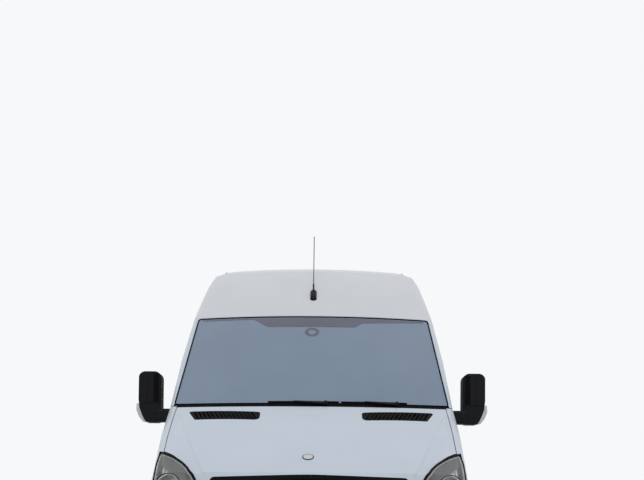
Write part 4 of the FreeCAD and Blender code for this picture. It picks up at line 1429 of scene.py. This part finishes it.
for wheel in WHEELS:
    wheel_trim(*wheel)
print("wheel trims:", len(WHEELS))

# %% [markdown]
# The tail lamps wrap round the rear corners. Each is one red moulding with an amber band for
# the indicator and a clear band for reversing, divided by thin dark lines.

# %% Tail lamps
LAMP_REAR = surface_of("tail_lamps")
LAMP_CORNER = (0.84, 5.76)
TAIL_BANDS = (  # name, lower and upper edge, finish, lift off the lamp
    ("indicator", 1.395, 1.482, "lamp_amber", 0.0005), ("reverse", 1.020, 1.105, "lamp_white", 0.0005),
    ("upper_line", 1.386, 1.394, "seal_rubber", 0.0012), ("lower_line", 1.106, 1.114, "seal_rubber", 0.0012),
)


def tail_place(low_z, high_z, lift, side):
    def place(u, v):
        angle = math.radians(3 + 84 * u)
        heart = at(side * LAMP_CORNER[0], LAMP_CORNER[1], low_z + (high_z - low_z) * v)
        ray = Vector((side * math.sin(angle), math.cos(angle), 0))
        spot, _, _, _ = LAMP_REAR.ray_cast(heart + ray * 0.5, -ray)
        if spot is None:
            spot, _, _, _ = LAMP_REAR.find_nearest(heart + ray * 0.1)
        return spot + ray * lift

    return place


halves = [copy_of(frame["nodes"]["tail_lamps"], f"tail_lamp_{side_name}") for side_name, _ in SIDES]
for half, (side_name, side) in zip(halves, SIDES):
    with editing(half):
        bpy.ops.mesh.remove_doubles(threshold=0.00002)
        bpy.ops.mesh.bisect(plane_co=(0, 0, 0), plane_no=(side, 0, 0), clear_inner=True)
        bpy.ops.mesh.select_all(action="SELECT")
        bpy.ops.mesh.dissolve_limited(angle_limit=math.radians(0.4))
    smooth(half, 32)
    bevelled(half, 0.004, 3)
    wear(half, "body", "lamp_red")
    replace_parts(half, "tail_lamps")
    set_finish(half, "lamp_red")
    heart = at(side * LAMP_CORNER[0], 5.70, 1.25)
    for tag, low_z, high_z, slot, lift in TAIL_BANDS:
        place = tail_place(low_z, high_z, lift, side)
        sheet(f"tail_{tag}_{side_name}", 12, 1, place, "body", slot, 0.0015, 0, heart)
print("tail lamps:", len(halves))

# %% [markdown]
# Each rear door turns on three hinges whose leaves wrap the corner post. Between the doors
# runs a rubber, and the left door carries the blank number plate under a lamp bar.

# %% Rear doors
HINGE_HEIGHTS = (0.82, 1.60, 2.28)
HINGE_HALF = 0.045
LEAF_LENGTH = 0.07
PIN_PROFILE = [(0, -HINGE_HALF), (0.009, -HINGE_HALF), (0.009, HINGE_HALF), (0.006, 0.049), (0, 0.049)]
SWAGE_HEIGHTS = (0.90, 2.30)


def post_edge(surface, side, z):
    """The greatest distance from the middle at which the door's skin still backs a whole hinge."""
    x = 0.76
    while any(
        surface.ray_cast(*look_from("rear", side * x, height))[0] is None
        for height in (z - HINGE_HALF, z, z + HINGE_HALF)
    ):
        x -= 0.004
    return x - 0.008


for side_name, side in SIDES:
    door_skin = surface_of(f"rear_door_{side_name}")
    body = f"back_door_{side_name}"
    for i, z in enumerate(HINGE_HEIGHTS):
        edge = post_edge(door_skin, side, z)
        inner = edge - LEAF_LENGTH
        leaf = ((inner, z - 0.03), (edge, z - HINGE_HALF), (edge, z + HINGE_HALF), (inner, z + 0.03))
        leaf = laid([(side * x, height) for x, height in leaf], door_skin, "rear", 0.0005)
        plate(f"hinge_leaf_{side_name}_{i}", leaf, (0, 0.008, 0), body, "body_paint", 0.003)
        pin = onto(door_skin, "rear", side * edge, z) + Vector((side * 0.012, 0.008, 0))
        turned(f"hinge_pin_{side_name}_{i}", PIN_PROFILE, pin, (0, 0, 1), "body", "body_paint", 20)
    for i, z in enumerate(SWAGE_HEIGHTS):
        bar = laid([(side * (0.08 + 0.58 * j / 10), z) for j in range(11)], door_skin, "rear", 0.0003)
        bead(f"rear_door_swage_{side_name}_{i}", bar, 0.004, body, "body_paint")
REAR_LEFT = surface_of("rear_door_left")
LEFT_BODY = "back_door_left"
PLATE_LINE = rounded(0.10, 0.745, 0.62, 0.865, 0.008)
centre_rubber = laid([(0.008, 0.62 + 1.80 * i / 20) for i in range(21)], REAR_LEFT, "rear", 0.001)
bead("rear_centre_rubber", centre_rubber, 0.006, LEFT_BODY, "seal_rubber")
holder = laid(shrunk(PLATE_LINE, -0.008), REAR_LEFT, "rear", 0.0005)
plate("number_plate_holder", holder, (0, 0.006, 0), LEFT_BODY, "black_plastic", 0.002)
blank = laid(PLATE_LINE, REAR_LEFT, "rear", 0.006)
plate("number_plate_blank", blank, (0, 0.004, 0), LEFT_BODY, "blank_plate", 0.0008)
strip("plate_lamp_bar", "rear", REAR_LEFT, 0.12, 0.60, 0.945, 1.000, 0.010, LEFT_BODY, "black_plastic", 24)
ROOF_REAR = surface_of("roof", "rear_door_left", "rear_door_right")
strip("high_brake_lamp", "rear", ROOF_REAR, -0.14, 0.14, 2.474, 2.500, 0.008, "body", "lamp_red", 14)
print("rear doors dressed")

# %% [markdown]
# The rear bumper is a step: its top has raised bars so that a wet boot does not slip. Round
# reflectors are let into its face.

# %% Rear bumper and reflectors
BUMPER_REAR = surface_of("rear_bumper")
STEP_TOP = 0.5815
STEP_BARS = 9
STEP_ROWS = 6
STEP_PITCH = 0.024
REFLECTOR_PROFILE = [(0, -0.001), (0.034, -0.001), (0.034, 0.005), (0.030, 0.008), (0, 0.009)]
bars = []
for i in range(STEP_BARS):
    x = -0.56 + 0.14 * i
    left, right = x - 0.055, x + 0.055
    outline = [at(a, s, STEP_TOP) for a, s in ((left, 5.742), (right, 5.742), (right, 5.752), (left, 5.752))]
    bars.append(plate(f"bar_{i}", outline, (0, 0, 0.004), "body", "black_plastic", 0.0015))
for bar in bars[:STEP_BARS]:
    for row in range(1, STEP_ROWS):
        extra = copy_of(bar, bar.name + f"_{row}")
        extra.location.y = STEP_PITCH * row
        bpy.ops.object.transform_apply(location=True, rotation=False, scale=False)
        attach(extra, "body")
        bars.append(extra)
step_bars = len(bars)
joined(bars, "rear_step_tread")
for side_name, side in SIDES:
    spot, normal = facing(BUMPER_REAR, "rear", side * 0.78, 0.47)
    turned(f"rear_reflector_{side_name}", REFLECTOR_PROFILE, spot, normal, "body", "lamp_red", 32)
print("step bars:", step_bars)

# %% [markdown]
# The front bumper carries a lower grille, two fog lamps and a blank plate. The grille is drawn
# as slats over a black strip that stands for the dark opening, painted shade, each slat a strip
# laid along the bumper's skin. A square cover closes the hatch over the towing eye.

# %% Front bumper
BUMPER = surface_of("front_bumper")
SLAT_PITCH = 0.029
SLAT_HEIGHT = 0.013
PLATE_FRONT = rounded(-0.26, 0.565, 0.26, 0.675, 0.008)
FOG_LAMP_PARTS = (
    ("rim", "black_plastic", [
        (0.048, -0.004), (0.066, -0.004), (0.066, 0.004), (0.058, 0.010), (0.050, 0.006),
    ]),
    ("lens", "lamp_white", [(0, -0.003), (0.049, -0.003), (0.049, 0.003), (0.030, 0.006), (0, 0.007)]),
)
# A black strip laid flat on the bumper behind the slats: painted shade for the opening.
strip("bumper_opening_painted_shade", "front", BUMPER, -0.34, 0.62, 0.325, 0.445, 0.0, "body", "seal_rubber", 30)
for i in range(4):
    low_z = 0.335 + SLAT_PITCH * i
    heights = (low_z, low_z + SLAT_HEIGHT)
    strip(f"bumper_slat_{i}", "front", BUMPER, -0.33, 0.61, *heights, 0.010, "body", "black_plastic", 30)
strip("bumper_upper_lip", "front", BUMPER, -0.74, 0.74, 0.705, 0.728, 0.007, "body", "black_plastic", 30)
flat_front = onto(BUMPER, "front", 0.0, 0.575).y - 0.003
mount = [Vector((a, flat_front, b)) for a, b in shrunk(PLATE_FRONT, -0.012)]
plate("front_plate_holder", mount, (0, 0.022, 0), "body", "black_plastic", 0.002)
blank = [Vector((a, flat_front - 0.0005, b)) for a, b in PLATE_FRONT]
plate("front_plate_blank", blank, (0, -0.002, 0), "body", "blank_plate", 0.0006)
for side_name, side in SIDES:
    spot, normal = facing(BUMPER, "front", side * 0.70, 0.44, 0.02)
    for kind, slot, profile in FOG_LAMP_PARTS:
        turned(f"fog_lamp_{kind}_{side_name}", profile, spot, normal, "body", slot, 40)
HATCH_X = -0.42
HATCH_Z = 0.52
HATCH_HALF = 0.037
hatch = rounded(HATCH_X - HATCH_HALF, HATCH_Z - HATCH_HALF, HATCH_X + HATCH_HALF, HATCH_Z + HATCH_HALF, 0.008)
beside = [onto(BUMPER, "front", HATCH_X + reach, HATCH_Z) for reach in (-0.055, 0.055)]
lean = (beside[1] - beside[0]).y / 0.11
cover = [Vector((a, beside[0].y + 0.004 + lean * (a - beside[0].x), b)) for a, b in hatch]
plate("towing_hatch_cover", cover, (0, 0.004, 0), "body", "black_plastic", 0.001)
print("front bumper dressed")

# %% [markdown]
# A seat pad is foam under a stretched cover. A block with rounded edges is remeshed into even
# cells, and Blender's cloth is blown up from inside a little, which crowns the faces and pulls
# the sides in between the corners. Each kind of pad is made once and copied to every seat.

# %% Blow up the pads
PAD_CELL = 0.022
PAD_FRAMES = 20
PAD_PRESSURE = 4.0


def ring_of(half, stations, heights):
    """Four corners in order: (-x, first), (+x, first), (+x, second), (-x, second)."""
    (s0, s1), (z0, z1) = stations, heights
    return [Vector((-half, s0, z0)), Vector((half, s0, z0)), Vector((half, s1, z1)), Vector((-half, s1, z1))]


RING_INDEX = {(-1, -1): 0, (1, -1): 1, (1, 1): 2, (-1, 1): 3}


def blow_up(piece):
    pick(piece)
    cover = piece.modifiers.new("cover", "CLOTH")
    cover.settings.use_pressure = True
    cover.settings.uniform_pressure_force = PAD_PRESSURE
    cover.settings.effector_weights.gravity = 0.0
    cover.point_cache.frame_start = 1
    cover.point_cache.frame_end = PAD_FRAMES
    for number in range(1, PAD_FRAMES + 1):
        bpy.context.scene.frame_set(number)
    bpy.ops.object.modifier_apply(modifier="cover")
    bpy.context.scene.frame_set(1)


def sprung_pad(name, low_ring, high_ring, edge, cap):
    """A block between two rings of corners. No corner of the cover moves further than cap."""
    bpy.ops.object.select_all(action="DESELECT")
    bpy.ops.mesh.primitive_cube_add(size=2)
    piece = newest(name)
    for vertex in piece.data.vertices:
        ring = high_ring if vertex.co.z > 0 else low_ring
        vertex.co = ring[RING_INDEX[round(vertex.co.x), round(vertex.co.y)]]
    with editing(piece):
        bpy.ops.mesh.normals_make_consistent(inside=False)
    use_modifier(piece, "BEVEL", width=edge, segments=4, limit_method="NONE")
    use_modifier(piece, "REMESH", mode="VOXEL", voxel_size=PAD_CELL)
    start = [v.co.copy() for v in piece.data.vertices]
    blow_up(piece)
    moved = 0.0
    for vertex, place in zip(piece.data.vertices, start):
        step = vertex.co - place
        if step.length > cap:
            vertex.co = place + step.normalized() * cap
        moved = max(moved, (vertex.co - place).length)
    use_modifier(piece, "SUBSURF", levels=1, render_levels=1)
    print(name, "moved up to", round(moved, 4), "faces", len(piece.data.polygons))
    return piece


CUSHION = sprung_pad(
    "pad_cushion", ring_of(0.203, (0.012, 0.455), (0.972, 0.972)),
    ring_of(0.198, (0.018, 0.440), (1.066, 1.056)), 0.030, 0.014,
)
BACK = sprung_pad(
    "pad_back", ring_of(0.200, (0.415, 0.522), (1.092, 1.092)),
    ring_of(0.186, (0.548, 0.612), (1.640, 1.630)), 0.026, 0.014,
)
HEADREST = sprung_pad(
    "pad_headrest", ring_of(0.118, (0.558, 0.615), (1.665, 1.658)),
    ring_of(0.104, (0.588, 0.638), (1.815, 1.815)), 0.018, 0.008,
)

# %% [markdown]
# Covers are sewn in panels: two seams part the flat middle of a cushion from its raised sides.
# The seams are pressed into the finished mesh, because remeshing would have wiped them out, and
# a dark piping is then laid in the outer seam with rays shot at the pad.

# %% Press the seams and lay the piping
AXIS_X = Vector((1, 0, 0))
AXIS_Y = Vector((0, 1, 0))
AXIS_Z = Vector((0, 0, 1))
SEAM_HALF_WIDTH = 0.011
SEAM_DEPTH = 0.007
CROSS_SEAM_DEPTH = 0.004
SIDE_RISE = 0.004
SIDE_SLOPE = 0.03
MIDDLE_HALF = 0.125
FACED = 0.4
BACK_FACING = Vector((0, -0.98, 0.2))
BACK_UP = Vector((0, 0.165, 0.986))


def press_seams(piece, seam_x, facing_axis):
    for vertex in piece.data.vertices:
        if vertex.normal.dot(facing_axis) > FACED:
            gap = (abs(vertex.co.x) - seam_x) / SEAM_HALF_WIDTH
            vertex.co -= facing_axis * SEAM_DEPTH * math.exp(-gap * gap)
            if abs(vertex.co.x) > seam_x:
                swell = min(1.0, (abs(vertex.co.x) - seam_x) / SIDE_SLOPE)
                vertex.co += facing_axis * SIDE_RISE * swell


def cross_seams(piece, axis_index, places, facing_axis):
    for vertex in piece.data.vertices:
        if vertex.normal.dot(facing_axis) > FACED and abs(vertex.co.x) < MIDDLE_HALF:
            for place in places:
                gap = (vertex.co[axis_index] - place) / SEAM_HALF_WIDTH
                vertex.co -= facing_axis * CROSS_SEAM_DEPTH * math.exp(-gap * gap)


press_seams(CUSHION, 0.135, AXIS_Z)
cross_seams(CUSHION, 1, (0.15, 0.30), AXIS_Z)
press_seams(BACK, 0.130, BACK_FACING)
cross_seams(BACK, 2, (1.24, 1.38, 1.52), BACK_FACING)


def piping_round(piece, centre, half_a, half_b, axis_a, axis_b):
    """Places on the pad found by rays shot inwards from a rounded line round it."""
    mesh = piece.data
    corners = [v.co.copy() for v in mesh.vertices]
    skin = BVHTree.FromPolygons(corners, [list(p.vertices) for p in mesh.polygons])
    points = []
    for a, b in walk(rounded(-half_a, -half_b, half_a, half_b, 0.05, 5), 0.05):
        outward = axis_a * a + axis_b * b
        spot, _, _, _ = skin.ray_cast(centre + outward * 1.5, -outward.normalized())
        if spot is not None:
            points.append(spot)
    return points


cushion_line = piping_round(CUSHION, Vector((0, 0.232, 1.035)), 0.2, 0.22, AXIS_X, AXIS_Y)
back_line = piping_round(BACK, Vector((0, 0.492, 1.365)), 0.2, 0.28, AXIS_X, BACK_UP)
print("piping points:", len(cushion_line), len(back_line))

# %% [markdown]
# Fifteen seats stand on the floor: three in the cab and four rows of three behind, with the
# aisle between. Each one gets copies of the pads, its piping, a moulded shell behind the back
# and two steel stalks for the headrest.

# %% Place the seats
PAD_WIDTH = 0.430
SEATS = {  # for each node: x, station, width
    "front_seats": [(0.480, 1.990, 0.490), (-0.150, 1.990, 0.440), (-0.595, 1.990, 0.440)],
    "rear_seats": [(x, s, PAD_WIDTH) for s in (2.960, 3.680, 4.300, 4.930) for x in (0.620, 0.180, -0.560)],
}
PAD_KINDS = (("cushion", CUSHION, 0.8), ("back", BACK, 0.8), ("headrest", HEADREST, 0.9))
SHELL_LOW = (0.527, 1.100)
SHELL_HIGH = (0.629, 1.625)
STALK = Vector((0, 0.012, 0.06))
SEAT_PAN = 0.957


def place_seat(node, tag, move, width):
    stretch = width / PAD_WIDTH
    for kind, master, fill in PAD_KINDS:
        piece = copy_of(master, f"{tag}_{kind}")
        piece.scale.x = 1.0 if kind == "headrest" else stretch
        piece.location = move
        bpy.ops.object.transform_apply(location=True, rotation=False, scale=True)
        bpy.ops.object.shade_smooth()
        wear(piece, "body", "cloth_grey")
        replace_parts(piece, node)
        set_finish(piece, "cloth_grey")
    lines = []
    for line in (cushion_line, back_line):
        points = [move + Vector((p.x * stretch, p.y, p.z)) for p in line]
        lines.append(bead(f"{tag}_line", points, 0.0035, "body", "piping", closed=True, sides=0))
    joined(lines, f"{tag}_piping")
    half = width / 2 - 0.018
    corners = ((-half, SHELL_LOW), (half, SHELL_LOW), (half * 0.95, SHELL_HIGH), (-half * 0.95, SHELL_HIGH))
    shell = [move + Vector((x, *foot)) for x, foot in corners]
    plate(f"{tag}_shell", shell, (0, 0.010, -0.0018), "body", "grey_plastic", 0.004)
    stalks = []
    for offset in (-0.06, 0.06):
        foot = move + Vector((offset, 0.585, 1.615))
        stalks.append(bead(f"{tag}_stalk", [foot, foot + STALK], 0.006, "body", "chrome"))
    joined(stalks, f"{tag}_stalks")


seat_number = 0
for node, seats in SEATS.items():
    for x, station, width in seats:
        seat_number += 1
        place_seat(node, f"seat_{seat_number:02d}", at(x, station, 0), width)
for master in (CUSHION, BACK, HEADREST):
    bpy.data.objects.remove(master)
for node in SEATS:
    frame["nodes"][node].hide_viewport = False
    base = merged_copy(node)
    frame["nodes"][node].hide_viewport = True
    with editing(base):
        bpy.ops.mesh.bisect(plane_co=(0, 0, SEAT_PAN), plane_no=(0, 0, 1), clear_outer=True, use_fill=True)
    bevelled(base, 0.006, harden=False)
    wear(base, "body", "grey_plastic")
    base.name = node + "_bases"
    base.hide_render = False
    base.hide_viewport = False
    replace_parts(base, node)
print("seats:", seat_number)

# %% [markdown]
# The steering wheel has a round padded rim on four spokes and a soft boss, tilted towards the
# seat behind it, on a tapering column. The rim and the boss are turned on the column's axis.

# %% Steering wheel
HUB = at(0.430, 1.752, 1.490)
COLUMN_AXIS = Vector((0, 0.62, 0.785)).normalized()
WHEEL_UP = COLUMN_AXIS.cross(AXIS_X).normalized()
RIM_RADIUS = 0.1905
RIM_HALF = 0.0150
WHEEL_PARTS = (  # name, finish, steps, smoothing angle, profile
    ("rim", "black_plastic", 56, 60, [
        (RIM_RADIUS + RIM_HALF * math.cos(math.tau * i / 12), RIM_HALF * math.sin(math.tau * i / 12))
        for i in range(12)
    ]),
    ("boss", "black_plastic", 32, 35, [
        (0, -0.035), (0.050, -0.035), (0.075, -0.015), (0.078, 0.002), (0.062, 0.014), (0.030, 0.019),
        (0, 0.020),
    ]),
    ("column", "grey_plastic", 28, 35, [
        (0, -0.255), (0.030, -0.255), (0.031, -0.12), (0.036, -0.03), (0.03, -0.015), (0, -0.015),
    ]),
)
wheel_parts = [
    turned(f"steering_{name}", profile, HUB, COLUMN_AXIS, "body", slot, steps, angle)
    for name, slot, steps, angle, profile in WHEEL_PARTS
]
for i, degrees in enumerate((15, 165, 235, 305)):
    ray = AXIS_X * math.cos(math.radians(degrees)) + WHEEL_UP * math.sin(math.radians(degrees))
    stops = []
    for j in range(7):
        spot = HUB + ray * (0.055 + 0.128 * j / 6) + COLUMN_AXIS * 0.002
        stops.append((spot, 0.016 - 0.0012 * j, 0.005))
    wheel_parts.append(flat_bar(f"steering_spoke_{i}", stops, COLUMN_AXIS, "body", "black_plastic"))
for part in wheel_parts:
    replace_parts(part, "steering_wheel")
print("steering wheel parts:", len(wheel_parts))

# %% [markdown]
# The dashboard has a hooded instrument panel behind the wheel, round air vents, a centre panel
# with knobs, and a glove box closed by a thin gap. Small parts are set on its rear face by rays
# shot forwards from the seats.

# %% Dashboard
DASH = surface_of("dashboard")


def on_dash(x, z, lift=0.0):
    for nudge in (0.0, 0.01, -0.01, 0.02):
        spot, normal, _, _ = DASH.ray_cast(at(x, 2.4, z + nudge), -AXIS_Y)
        if spot is not None:
            break
    normal = normal if normal.y > 0 else -normal
    return spot + normal * lift, normal


def laid_on_dash(outline, lift):
    return [on_dash(a, b, lift)[0] for a, b in outline]


VENT_RIM = [(0.034, -0.002), (0.044, -0.002), (0.044, 0.006), (0.038, 0.010), (0.034, 0.006)]
VENT_BLADES = [
    (0, -0.001), (0.034, -0.001), (0.034, 0.002), (0.024, 0.001), (0.022, 0.004), (0.010, 0.004),
    (0.008, 0.001), (0, 0.003),
]
for i, (x, z) in enumerate(((0.74, 1.38), (0.12, 1.40), (-0.02, 1.40), (-0.70, 1.38))):
    spot, normal = on_dash(x, z)
    turned(f"dash_vent_rim_{i}", VENT_RIM, spot, normal, "body", "black_plastic", 32)
    turned(f"dash_vent_blades_{i}", VENT_BLADES, spot, normal, "body", "seal_rubber", 32)

HOOD_X = 0.43


def hood_place(u, v):
    rise = 0.085 * math.sin(math.pi * u) ** 0.6 if 0 < u < 1 else 0.0
    return at(HOOD_X - 0.165 * math.cos(math.pi * u), 1.375 + 0.155 * v, 1.455 + rise - 0.012 * v)


sheet("instrument_hood", 28, 5, hood_place, "body", "grey_plastic", 0.006, 0.0015, at(HOOD_X, 1.45, 1.35))
dial_face = []
for i in range(21):
    angle = math.pi * i / 20
    dial_face.append(at(HOOD_X - 0.150 * math.cos(angle), 1.46, 1.458 + 0.068 * math.sin(angle) ** 0.6))
plate("instrument_face", dial_face, (0, 0.004, 0), "body", "seal_rubber")
DIAL_RING = [(0.034, -0.002), (0.040, -0.002), (0.040, 0.004), (0.034, 0.003)]
for i, x in enumerate((0.36, 0.50)):
    turned(f"dial_ring_{i}", DIAL_RING, at(x, 1.465, 1.492), AXIS_Y, "body", "chrome", 32)
centre_panel = laid_on_dash(rounded(-0.06, 1.12, 0.16, 1.345, 0.015), 0.001)
plate("centre_panel", centre_panel, (0, 0.006, 0.0), "body", "black_plastic", 0.002)
KNOB = [(0, 0), (0.017, 0), (0.015, 0.014), (0.012, 0.016), (0, 0.016)]
for i in range(3):
    spot, normal = on_dash(-0.01 + 0.06 * i, 1.165, 0.006)
    turned(f"heater_knob_{i}", KNOB, spot, normal, "body", "grey_plastic", 24)
glove_box = walk(rounded(-0.68, 1.12, -0.22, 1.32, 0.02), 0.06)
bead("glove_box_gap", laid_on_dash(glove_box, 0.0005), 0.0025, "body", "seal_rubber", closed=True)
GEAR_LEVER = [
    (0, 0), (0.034, 0), (0.030, 0.02), (0.016, 0.05), (0.007, 0.07), (0.007, 0.12), (0.018, 0.135),
    (0.020, 0.155), (0.012, 0.17), (0, 0.172),
]
gear_foot = on_dash(0.10, 1.02)[0] + Vector((0, -0.01, 0.0))
turned("gear_lever", GEAR_LEVER, gear_foot, (0, 0.75, 0.66), "body", "black_plastic", 24)
print("dashboard fitted")

# %% [markdown]
# When a front door is open its inner face shows: a padded trim with an armrest that is also
# the pull, a speaker grille low down in front and a chromed release lever. The trim keeps well
# inside the door's edge, so it swings clear of the frame.

# %% Door trims
SPEAKER = [(0, 0), (0.082, 0), (0.082, 0.006), (0.074, 0.010), (0.070, 0.006), (0.03, 0.009), (0, 0.010)]


def hump(t):
    """0 at both ends and 1 in the middle."""
    return math.sin(math.pi * t)


for side_name, side in SIDES:
    door_skin = surface_of(f"door_{side_name}")
    body = f"front_door_{side_name}"
    inward = Vector((-side, 0, 0))

    def from_cab(station, z, lift, door_skin=door_skin, side=side, inward=inward):
        spot, _, _, _ = door_skin.ray_cast(at(side * 0.3, station, z), -inward)
        return spot + inward * lift

    def trim_place(u, v, from_cab=from_cab):
        swell = 0.010 * hump(u) ** 0.4 * hump(v) ** 0.4 if 0 < u < 1 and 0 < v < 1 else 0.0
        return from_cab(1.585 + 0.735 * u, 0.560 + 0.690 * v, 0.002 + swell)

    heart = at(side * 1.2, 1.95, 0.9)
    sheet(f"door_trim_{side_name}", 24, 20, trim_place, body, "grey_plastic", -0.003, 0, heart)
    armrest, release = [], []
    for i in range(13):
        t = i / 12
        armrest.append((from_cab(1.66 + 0.55 * t, 1.02 + 0.03 * hump(t), 0.020), 0.022, 0.016))
    for i in range(7):
        t = i / 6
        release.append((from_cab(1.60 + 0.09 * t, 1.16, 0.012 + 0.008 * hump(t)), 0.009, 0.004))
    arm_up = Vector((-side, 0, 0.2)).normalized()
    flat_bar(f"door_armrest_{side_name}", armrest, arm_up, body, "black_plastic")
    cone = from_cab(1.72, 0.70, 0.006)
    turned(f"door_speaker_{side_name}", SPEAKER, cone, inward, body, "black_plastic", 40)
    flat_bar(f"door_release_{side_name}", release, inward, body, "chrome")
print("door trims: 2")
